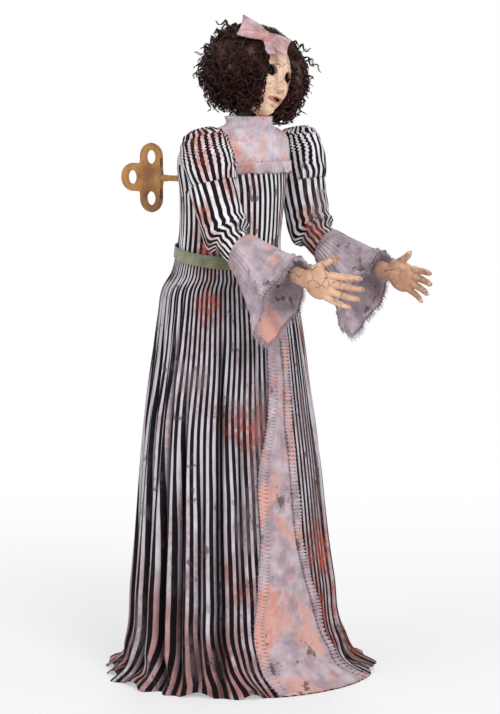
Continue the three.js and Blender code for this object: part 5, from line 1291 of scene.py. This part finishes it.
def rim_mask(x, z):
    """1 round the eyes, where the paint has gone brown, fading outwards."""
    return np.maximum(*[np.exp(-(((round_eye(x, z, side) - 1.02) / 0.2) ** 2)) for side in (-1, 1)])


def painted_shade_mask(x, z):
    """Painted shade, brown where shade falls: beside and under the nose, under the lip and the brows."""
    nose = pair(x, z, 0.0135, 0.058, 0.0045, 0.016) + 0.8 * pair(x, z, 0.0165, 0.034, 0.004, 0.007)
    brows = 0.7 * pair(x, z, 0.030, 0.097, 0.018, 0.0045)
    under_nose = 1.1 * hump(x, z, 0, 0.0272, 0.0085, 0.0028)
    under_lip = 0.9 * hump(x, z, 0, -0.0055, 0.012, 0.0035)
    return np.clip(nose + brows + under_nose + under_lip, 0, 1)


def face_finish():
    """The doll skin with black hollows, brown eye rims, painted shade beside and under the nose,
    under the lip and the brows, and pink lips painted on by the mesh."""
    tones = ("efd0b6", "dcae90", "dc9c85", "93604a")
    shader, colour, normal, rough = doll_skin("cracked_doll_face", *tones)
    names = ("hollow", "lips", "rim", "shade")
    mask = {name: shader.node("Attribute", {"attribute_name": name}, output=2) for name in names}
    fine = shader.noise(shader.place(), 90, 4, 0.7)
    # Painted shade: brown where the nose, lip and brows would shade the face
    colour = shader.blend(mask["shade"] * fine.between(0.2, 0.6, 0.3, 0.75), colour, tint("9c6448"))
    colour = shader.blend((mask["lips"] * 0.85).at_most(fine.between(0.2, 0.5)), colour, tint("b8655c"))
    colour = shader.blend((mask["rim"] * 0.8).at_most(fine.between(0.25, 0.6)), colour, tint("6b3f2c"))
    colour = shader.blend(mask["hollow"].between(0.12, 0.4), colour, tint("090606"))
    return shader.done(base_color=colour, normal=normal, roughness=rough)


def towards_box(points, power):
    """Points of a ball pushed towards the corners of a box: the lower the power, the further."""
    return np.sign(points) * np.abs(points) ** power


def doll_teeth():
    """Six upper teeth in an arc behind the upper lip, each a rounded block on a sphere grid."""
    for index, place in enumerate(np.linspace(-1, 1, 6)):
        square = towards_box(ball_points(12, 16), 0.6)
        x = 0.0125 * place
        size = np.array([0.0026, 0.0018, 0.0042 - 0.0006 * abs(place)])
        tooth = square * size + [x, -0.0765 + 0.0035 * place**2, 0.0165]
        piece = surface(f"tooth_{index}", head_place(tooth), PART_FINISHES["teeth_white"], True)
        fit([piece], "teeth_white", "head", *(["teeth"] if index == 0 else []))


def wig_radius(way):
    """Distance of the mop's surface from its middle along unit directions: an ellipsoid, flatter
    before than behind, with lumps and a furrow at the parting."""
    x, y, z = way[..., 0], way[..., 1], way[..., 2]
    turn, rise = np.arctan2(y, x), np.arcsin(np.clip(z, -1, 1))
    fine = np.sin(9 * turn + 2 * rise) * np.sin(8 * rise + 1)
    lumps = np.sin(4 * turn) * np.sin(5 * rise) + 0.7 * fine
    parting = np.exp(-(((x - 0.06) / 0.05) ** 2)) * smooth(0.2, 0.7, z) * smooth(0.6, 0.3, y)
    depth = np.where(y < 0, WIG_FRONT, WIG[1])
    scale = 1 / np.sqrt((x / WIG[0]) ** 2 + (y / depth) ** 2 + (z / WIG[2]) ** 2)
    return scale * (0.91 + 0.035 * lumps * np.cos(rise) - 0.03 * parting)


def hair_front(x, z):
    """How far forward hair may lie: beside the face the further out the more, with a little more on
    the right, and over the forehead the same everywhere."""
    beside = -0.036 - 0.72 * np.abs(x) - 0.011 * smooth(-0.03, -0.045, x)
    return mix(beside, -0.119, smooth(0.125, 0.160, z))


def wig_mop():
    """The dense hair under the curls: a closed mop sunk into the head where the face shows."""
    way = ball_points(90, 140)
    points = way * wig_radius(way)[..., None] + WIG_CENTRE
    limit = hair_front(points[..., 0], points[..., 2]) + 0.008
    points[..., 1] = np.maximum(points[..., 1], limit)
    window = oval(points[..., 0], points[..., 2], 0, WINDOW[2], WINDOW[0], WINDOW[1])
    sunk = smooth(1.14, 1.0, window) * (way[..., 1] < 0)
    points[..., 1] = mix(points[..., 1], -0.012, sunk)
    from_neck = points - [0, 0, -0.036]
    under = np.linalg.norm(from_neck, axis=-1)
    push = np.maximum(0.086 - under, 0)[..., None] * unit(from_neck)
    points = points + push * (points[..., 2:] < 0.03)
    x, y, z = way[..., 0], way[..., 1], way[..., 2]
    fuzz = 0.0022 * np.sin(50 * x + 9 * z) * np.sin(61 * y) * np.sin(47 * z)
    points = points + way * fuzz[..., None]
    uv = np.stack([np.arctan2(y, x) * 0.12, np.arcsin(np.clip(z, -1, 1)) * 0.12], -1)
    uv = np.concatenate([uv, uv[:, -1:] + [0.004, 0]], axis=1)
    piece = surface("wig_mop", head_place(points), HAIR, True, uv)
    fit([piece], "hair", "head", "wig")


def spread_roots(count, rng):
    """Unit directions spread evenly over a ball by the golden angle, each nudged a little."""
    k = np.arange(count)
    up = 1 - 2 * (k + 0.5) / count
    turn = k * math.pi * (3 - math.sqrt(5))
    flat = np.sqrt(1 - up**2)
    way = np.stack([flat * np.cos(turn), flat * np.sin(turn), up], -1)
    return unit(way + rng.normal(0, 0.03, (count, 3)))


def strands(name, paths, thick, shade):
    """Hair tubes as one piece; u tells the strands apart, v runs along each."""
    steps, sides = paths.shape[1], 3
    points, faces = tubes(paths, thick, sides)
    index = faces // (steps * sides)
    uv = np.zeros((len(faces), 4, 2))
    uv[..., 0] = shade[index] + (faces % sides) * 0.004
    uv[..., 1] = (faces // sides % steps) * 0.004
    fit([mesh_piece(name, head_place(points), faces, HAIR, uv)], "hair", "head")


CURLS_ON_MOP, CURLS_BESIDE, CLEAR_SHARE = 1300, 170, 0.97


def curl_roots(rng):
    """Where curls start and which way each leans: all over the mop but its top, down both sides of
    the face, where the hair stands beside it, and beside the neck."""
    way = spread_roots(CURLS_ON_MOP, rng)
    root = way * (wig_radius(way) * 0.93)[:, None] + WIG_CENTRE
    root[:, 1] = np.maximum(root[:, 1], hair_front(root[:, 0], root[:, 2]) + 0.012)
    half, high, middle = WINDOW
    window = oval(root[:, 0], root[:, 2], 0, middle, half + 0.006, high + 0.006)
    keep = ((window > 1.0) | (way[:, 1] > 0)) & (root[:, 2] > 0.004) & (way[:, 2] < 0.86)
    way, root = way[keep], root[keep]

    def spread(low, high):
        return rng.uniform(low, high, CURLS_BESIDE)

    def leaning(x, y):
        return unit(np.full((CURLS_BESIDE, 3), (x, y, 0.0)))

    up = spread(-0.75, 0.7)
    aside = (half + 0.012) * np.sqrt(1 - up**2)
    beside = np.stack([aside, spread(-0.088, -0.030), middle + (high + 0.004) * up], -1)
    up = spread(-0.35, 0.75)
    aside = -(half + 0.007) * np.sqrt(1 - up**2)
    over = np.stack([aside, spread(-0.080, -0.05), middle + high * up], -1)
    neck = np.stack([spread(-0.072, -0.044), spread(-0.082, 0.01), spread(-0.008, 0.035)], -1)
    ways = [way, leaning(0.25, -0.35), leaning(-0.3, -0.2), leaning(-0.3, -0.2)]
    return np.concatenate(ways), np.concatenate([root, beside, over, neck])


def in_the_clear(paths):
    """Which points of curls lie off the face, the bow and the neck."""
    x, y, z = paths[..., 0], paths[..., 1], paths[..., 2]
    room = np.where(x > 0, 0.014, 0.001)
    window = oval(x, z, 0.002, WINDOW[2], WINDOW[0] - room, WINDOW[1] - room)
    off_bow = np.linalg.norm(paths - (BOW_AT + [0.006, -0.022, 0.022]), axis=-1) > 0.058
    not_before = y > hair_front(x, z) - mix(0.006, 0.016, smooth(0.09, 0.13, z))
    off_neck = np.hypot(x, y) > 0.062 - 4 * np.maximum(z + 0.012, 0)
    return ((window > 1.0) | (y > -0.02)) & off_bow & not_before & off_neck


def wig_curls():
    """Ringlets: each hangs from its root, leaning outwards, as three strands side by side on one
    helix whose radius opens on its way down. What would hang below the top of the shoulders is
    drawn up by most of that drop."""
    rng = np.random.default_rng(11)
    way, root = curl_roots(rng)
    count, steps = len(root), 22
    grow = np.linspace(0, 1, steps)[None]
    down = unit(np.array([0, 0, -1.0]) - way * (-way[:, 2:]))
    open_side = 0.5 + 0.5 * np.tanh(3 * (0.64 * way[:, 0] - 0.77 * way[:, 1]))
    outwards = rng.uniform(0.04, 0.30, count) + 0.02 * open_side
    lean = unit(down * 0.9 + way * outwards[:, None] + rng.normal(0, 0.16, (count, 3)))
    length = rng.uniform(0.034, 0.074, count) * (0.62 + 0.38 * smooth(0.0, 0.085, root[:, 2]))
    length = length * np.where(rng.uniform(0, 1, count) < 0.10, 1.25, 1.0)
    length = length * (0.88 + 0.16 * open_side)
    side = unit(np.cross(lean, [0.3, 0.2, 0.9]))
    other = np.cross(lean, side)
    turns = (length / rng.uniform(0.022, 0.038, count))[:, None]
    turns = turns * np.sign(rng.normal(size=count))[:, None]
    start = rng.uniform(0, TURN, count)[:, None]
    widest = (0.0050 + 0.0095 * rng.uniform(0, 1, count) ** 1.6)[:, None]
    radius = widest * (0.35 + 0.65 * smooth(0, 0.35, grow)) * (1 - 0.35 * smooth(0.75, 1, grow))
    bend = 0.006 * (grow**2)[..., None] * np.array([0, 0, -1.0])
    middle = root[:, None] + lean[:, None] * (length[:, None, None] * grow[..., None]) + bend
    found, widths, shades = [], [], []
    for strand in (-1, 0, 1):
        phase = (start + TURN * turns * grow + strand * 0.10)[..., None]
        reach = radius * (1 + 0.11 * strand)
        swing = side[:, None] * np.cos(phase) + other[:, None] * np.sin(phase)
        found.append(middle + reach[..., None] * swing + lean[:, None] * (0.0017 * strand))
        widths.append(rng.uniform(0.0009, 0.0016, count)[:, None] * (1 - 0.6 * grow**3))
        shades.append(rng.uniform(0, 1, count))
    paths, thick, shade = np.concatenate(found), np.concatenate(widths), np.concatenate(shades)
    paths[..., 2] += SHOULDER_LIFT * np.maximum(SHOULDER_TOP - head_place(paths)[..., 2], 0)
    kept = in_the_clear(paths).mean(axis=1) > CLEAR_SHARE
    paths, thick, shade = (rows[kept] for rows in (paths, thick, shade))
    behind, right = paths[:, 0, 1] > 0.02, paths[:, 0, 0] < 0
    for word, part in (("back", behind), ("right", right & ~behind), ("left", ~right & ~behind)):
        strands("wig_curls_" + word, paths[part], thick[part], shade[part])


def wig_crown():
    """Waved hair that lies on the top of the mop, from the parting outwards and down: each strand
    turns from a direction near the parting to one lower down, at the mop's own distance."""
    rng = np.random.default_rng(23)
    count, steps = 760, 14
    along = rng.uniform(-0.62, 0.75, count)
    side = np.sign(rng.normal(size=count))
    near = 0.06 + side * rng.uniform(0.01, 0.25, count)
    first = unit(np.stack([near, along, np.full(count, 0.75)], -1))
    fan = np.clip(along + rng.normal(0, 0.22, count), -0.95, 1.1)
    far = side * rng.uniform(0.65, 1.0, count)
    last = unit(np.stack([far, fan, rng.uniform(0.25, 0.55, count)], -1))
    grow = np.linspace(0, 1, steps)[None, :, None]
    way = unit(first[:, None] * (1 - grow) + last[:, None] * grow)
    start = rng.uniform(0, TURN, count)[:, None]
    wave = start + rng.uniform(9, 17, count)[:, None] * grow[..., 0]
    lift = rng.uniform(0.955, 1.015, count)[:, None] + 0.012 * np.cos(wave)
    sway = rng.uniform(0.004, 0.010, count)[:, None] * np.sin(wave)
    flat = unit(np.cross(way, np.gradient(way, axis=1)))
    paths = way * (wig_radius(way) * lift)[..., None] + WIG_CENTRE + flat * sway[..., None]
    thick = rng.uniform(0.0012, 0.0022, count)[:, None] * (1 - 0.6 * grow[..., 0] ** 2)
    x, y, z = paths[..., 0], paths[..., 1], paths[..., 2]
    off_face = (oval(x, z, 0, WINDOW[2], WINDOW[0], WINDOW[1]) > 1.0) | (y > -0.02)
    keep = (off_face & (y > hair_front(x, z) - 0.004)).all(axis=1)
    strands("wig_crown", paths[keep], thick[keep], rng.uniform(0, 1, count)[keep])


def bow_place(points):
    """Points of the bow's own frame, leaned, rolled and swung on the head."""
    for axis, degrees in zip(((1, 0, 0), (0, 1, 0), (0, 0, 1)), BOW_TURNS):
        points = turned(points, axis, degrees)
    return head_place(points + BOW_AT)


def bow_loop(side):
    """A loop of ribbon, flat and widening from the knot to a straight end with crisp corners, its
    two layers bulging between them, and deep folds that fan out of the knot."""
    share = np.linspace(0.02, 1, 42)[:, None]
    angle = full_turn(110)
    wide = 0.031 * (0.22 + 0.78 * share**0.75) * (1.08 - 0.14 * side)
    bulge = 0.30 + np.sin(math.pi * np.minimum(share, 0.9)) * 0.85
    thick = 0.0072 * bulge * np.sqrt(np.clip(1.01 - share**14, 0, 1))
    c, s = np.cos(angle), np.sin(angle)
    across = towards_box(c, 0.62)
    folds = np.sin(9 * across + 2.2 * side + 1.5 * share) * (1.15 - share) * 0.0042
    dent = -0.0034 * np.exp(-(((across - 0.15 * side) / 0.16) ** 2)) * smooth(1.0, 0.2, share)
    x = side * (0.003 + 0.060 * share + 0.004 * (across**2 - 0.5) * share**3)
    y = towards_box(s, 0.8) * (thick + dent) + folds + 0.004 * np.sin(2.4 * share + side)
    end = wide * smooth(1.06, 0.97, share) ** 0.3
    return np.stack([x, y, end * across + 0.0025 * np.sin(3 * share + side)], -1)


def hair_bow():
    """Two loops, a pinched knot and a tail over the forehead."""
    loops = [bow_loop(side) for side in (-1, 1)]
    knot = ball_points(26, 40)
    pinch = 1 + 0.10 * np.sin(7 * np.arctan2(knot[..., 1], knot[..., 0]) + 3 * knot[..., 2])
    knot = towards_box(knot, 0.85) * np.array([0.0105, 0.0115, 0.0135]) * pinch[..., None]
    share, strip = np.linspace(0, 1, 40)[:, None], np.linspace(-1, 1, 17)[None]
    width = 0.006 + 0.008 * share**0.7
    x = 0.004 + 0.018 * share + width * strip
    y = -0.004 - 0.010 * share + 0.0022 * np.sin(3 * strip + 9 * share)
    notch = 0.008 * (1 - np.abs(strip)) * smooth(0.8, 1, share)
    tail = np.stack([x, y, -0.004 - 0.055 * share - notch], -1)
    names = ["bow_loop_right", "bow_loop_left", "bow_knot", "bow_tail"]
    pieces = []
    for name, grid in zip(names, [*loops, knot, tail]):
        around, flip = name != "bow_tail", name == "bow_loop_right"
        uv = cloth_uv(grid, around)
        pieces.append(surface(name, bow_place(grid), BOW_CLOTH, around, uv, flip))
    fit(pieces, "stained_cloth", "head")
    for piece, grid in zip(pieces[:2], loops):
        declare(grid, True)
        thicken(piece, CLOTH)
    declare(tail)
    thicken(pieces[3], CLOTH)
    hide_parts("hair_bow")


# Key: the bow is a level plate of round lobes with its edges eased, on a round shaft

KEY_Z = 1.213
LOBE_R, LOBE_HOLE_R, LOBE_SPACING = 0.0355, 0.017, 0.104
BOW_FRONT, BOW_BACK, PLATE, EDGE_R = 0.221, 0.356, 0.014, 0.0035
EDGE_POWER = 2.4


def bow_distance(y, z):
    """Distance outside the bow's outline, negative inside: an upright bar with round ends joined to
    a level one, with a fillet where they meet, less the three round holes."""
    upright, rear = BOW_FRONT + LOBE_R, BOW_BACK - LOBE_R
    top = np.hypot(y - upright, np.maximum(np.abs(z - KEY_Z) - LOBE_SPACING / 2, 0)) - LOBE_R
    level = np.hypot(np.maximum(np.maximum(upright - y, y - rear), 0), z - KEY_Z) - LOBE_R
    soft = 0.010
    h = np.clip(0.5 + 0.5 * (level - top) / soft, 0, 1)
    body = mix(level, top, h) - soft * h * (1 - h)
    holes = [np.hypot(y - upright, z - KEY_Z - s * LOBE_SPACING / 2) for s in (-1, 1)]
    holes.append(np.hypot(y - rear, z - KEY_Z))
    return np.maximum(body, LOBE_HOLE_R - np.minimum.reduce(holes))


def key_bow():
    """Height field of the plate on a fine grid: full thickness inside, rounded to nothing at the
    outline, where points near it are moved onto it; its two faces are joined along the rim."""
    step = 0.0011
    y = np.arange(BOW_FRONT - 0.004, BOW_BACK + 0.004, step)
    z = np.arange(KEY_Z - 0.092, KEY_Z + 0.092, step)
    grid_y, grid_z = np.meshgrid(y, z)
    distance = bow_distance(grid_y, grid_z)
    for _ in range(6):
        slope_z, slope_y = np.gradient(distance, step)
        over = np.where(np.abs(distance) < 1.3 * step, distance, 0)
        norm = np.maximum(slope_y**2 + slope_z**2, 0.2)
        grid_y, grid_z = grid_y - over * slope_y / norm, grid_z - over * slope_z / norm
        distance = bow_distance(grid_y, grid_z)
        if np.abs(distance[np.abs(distance) < step]).max(initial=0) < 1e-5:
            break
    from_edge = np.clip(1 + distance / EDGE_R, 0, 1)
    depth = PLATE / 2 * np.clip(1 - from_edge**EDGE_POWER, 0, 1) ** (1 / EDGE_POWER)
    keep = distance < 2e-4
    rows, columns = distance.shape
    faces = grid_faces(rows, columns)
    faces = faces[keep.reshape(-1)[faces].all(axis=1)]
    used, faces = np.unique(faces, return_inverse=True)
    faces = faces.reshape(-1, 4)
    flat_y, flat_z, flat_x = (a.reshape(-1)[used] for a in (grid_y, grid_z, depth))
    near = np.stack([flat_x, flat_y, flat_z], -1)
    far = near * [-1, 1, 1]
    both = np.concatenate([near, far])
    faces = np.concatenate([faces, faces[:, ::-1] + len(used)])
    piece = mesh_piece("key_bow_painted", both, faces, GOLD)
    close_rim(piece)
    fit([piece], "gold_finish", "key", "key_bow")


def close_rim(piece):
    """Joins the points of the two faces where they meet and bridges what is left open."""
    made = bmesh.new()
    made.from_mesh(piece.data)
    edge = [v for v in made.verts if v.is_boundary]
    bmesh.ops.remove_doubles(made, verts=edge, dist=2e-4)
    open_edges = [e for e in made.edges if e.is_boundary]
    if open_edges:
        bmesh.ops.holes_fill(made, edges=open_edges, sides=60)
    bmesh.ops.recalc_face_normals(made, faces=made.faces)
    made.to_mesh(piece.data)
    made.free()
    piece.data.shade_smooth()


def key_shaft():
    """Round shaft turned from a profile of distance along it and radius, with a collar at the bow."""
    profile = np.array([
        (0.022, 0.0001), (0.022, 0.0068), (0.0228, 0.0075), (0.150, 0.0075), (0.200, 0.0076),
        (0.206, 0.0088), (0.2195, 0.0090), (0.2208, 0.0082), (0.2208, 0.0001),
    ])
    share = np.linspace(0, 8, 33)
    y = np.interp(share, range(9), profile[:, 0])[:, None]
    r = np.interp(share, range(9), profile[:, 1])[:, None]
    angle = full_turn(40)
    points = np.stack([r * np.cos(angle), y + 0 * angle, KEY_Z + r * np.sin(angle)], -1)
    piece = surface("key_shaft_painted", points, GOLD, True, flip=True)
    fit([piece], "gold_finish", "key", "key_shaft")


# Carried-over parts


def finish_parts():
    """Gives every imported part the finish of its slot, or gold where the slot has none here."""
    slots = {row["node"]: row["material_slot"] for row in frame["record"]["subparts"]}
    for name, node in frame["nodes"].items():
        finish = PART_FINISHES.get(slots[name], GOLD)
        node.data.materials.clear()
        node.data.materials.append(finish)


# Floor, light and camera


def floor():
    """A pale floor that keeps the doll's shadow close to it and turns plain white further out."""
    mesh = bpy.data.meshes.new("floor")
    size = 30
    corners = [(-size, -size, 0), (size, -size, 0), (size, size, 0), (-size, size, 0)]
    mesh.from_pydata(corners, [], [(0, 1, 2, 3)])
    shader = Shader("pale_floor", roughness=0.9)
    shader.principled.inputs["Base Color"].default_value = (0.85, 0.85, 0.85, 1)
    away = shader.node("VectorMath", {"operation": "LENGTH"}, {0: shader.place()}, output=1)
    seen = shader.node("LightPath", output=0).at_least(shader.node("LightPath", output=3))
    share = seen * away.between(0.5, 3.2, 0.45, 1.0)
    lit = shader.node("Emission", {}, {"Color": (1, 1, 1, 1), "Strength": 1.0})
    matt = Wire(shader, shader.principled.outputs[0])
    surface_out = shader.node("MixShader", {}, {0: share, 1: matt, 2: lit})
    shader.tree.links.new(surface_out.socket, shader.tree.nodes["Material Output"].inputs["Surface"])
    mesh.materials.append(shader.material)
    piece = bpy.data.objects.new("floor", mesh)
    bpy.context.scene.collection.objects.link(piece)


def world():
    """Even soft light from all round, and a white background where the camera sees it."""
    made = bpy.data.worlds.new("studio")
    bpy.context.scene.world = made
    made.use_nodes = True
    tree = made.node_tree
    light = tree.nodes["Background"]
    light.inputs["Color"].default_value = (1, 1, 1, 1)
    light.inputs["Strength"].default_value = 0.55
    seen = tree.nodes.new("ShaderNodeBackground")
    seen.inputs["Color"].default_value = (1, 1, 1, 1)
    path = tree.nodes.new("ShaderNodeLightPath")
    either = tree.nodes.new("ShaderNodeMath")
    either.operation = "MAXIMUM"
    choose = tree.nodes.new("ShaderNodeMixShader")
    tree.links.new(path.outputs["Is Camera Ray"], either.inputs[0])
    tree.links.new(path.outputs["Is Glossy Ray"], either.inputs[1])
    tree.links.new(either.outputs[0], choose.inputs[0])
    tree.links.new(light.outputs[0], choose.inputs[1])
    tree.links.new(seen.outputs[0], choose.inputs[2])
    tree.links.new(choose.outputs[0], tree.nodes["World Output"].inputs["Surface"])


def aim(piece, place, target):
    """Puts a lamp or camera at a place, looking at a target."""
    piece.location = place
    piece.rotation_euler = (Vector(target) - Vector(place)).to_track_quat("-Z", "Y").to_euler()
    bpy.context.scene.collection.objects.link(piece)


def lamps():
    """A large soft lamp before the doll, a weaker one from its right and one from behind."""
    for name, place, power, size in (
        ("key_lamp", (-2.2, -4.2, 3.4), 150, 2.2),
        ("fill_lamp", (-4.5, 0.8, 2.2), 55, 2.6),
        ("rim_lamp", (3.0, 2.6, 3.0), 60, 1.6),
    ):
        lamp = bpy.data.lights.new(name, "AREA")
        lamp.energy, lamp.size = power, size
        aim(bpy.data.objects.new(name, lamp), place, (0, 0, 0.95))


VIEW_TURN, VIEW_DISTANCE, VIEW_HEIGHT, VIEW_DROP = -50, 6.3, 1.455, 6.15
FOCAL_PIXELS, FRAME_PIXELS, PIXELS_PER_METRE = 2563, (500, 714), 407
AXIS_PIXEL = 229


def camera():
    """At the photograph's viewing angle: the doll's right front, a little above its shoulders."""
    turn = math.radians(VIEW_TURN)
    right = np.array([math.cos(turn), math.sin(turn), 0])
    ahead = np.array([-math.sin(turn), math.cos(turn), 0])
    aside = (FRAME_PIXELS[0] / 2 - AXIS_PIXEL) / PIXELS_PER_METRE
    place = -ahead * VIEW_DISTANCE + right * aside + [0, 0, VIEW_HEIGHT]
    drop = math.radians(VIEW_DROP)
    target = place + ahead * math.cos(drop) - np.array([0, 0, math.sin(drop)])
    lens = bpy.data.cameras.new("camera")
    lens.sensor_width = 36
    lens.lens = FOCAL_PIXELS / FRAME_PIXELS[1] * lens.sensor_width
    view = bpy.data.objects.new("camera", lens)
    aim(view, tuple(place), tuple(target))
    bpy.context.scene.camera = view


FACE_SKIN = face_finish()
HAND_SKIN = hand_finish()
NAIL = part_finish("painted_nail", "c9a57c", "8d6a4a", 0.35, 0.0, 120)
PALE_THREAD = part_finish("frayed_pale_thread", "cbbfc6", "948994", 0.9, 0.0, 90)
DARK_THREAD = part_finish("frayed_dark_thread", "3f373e", "2a242b", 0.9, 0.0, 90)

bpy.context.scene.view_settings.view_transform = "Standard"
camera()
world()
lamps()
floor()
finish_parts()
hip_form()
dress_skirt()
dress_panel()
for word, side in SIDES.items():
    dress_panel_trim(word, side)
dress_bodice()
dress_yoke()
dress_yoke_frill()
dress_belt()
for word, side in SIDES.items():
    sleeve_head(word, side)
    sleeve_tube(word, side)
    cuff(word, side)
    doll_hand(word, side)
doll_face()
doll_teeth()
wig_mop()
wig_curls()
wig_crown()
hair_bow()
key_bow()
key_shaft()
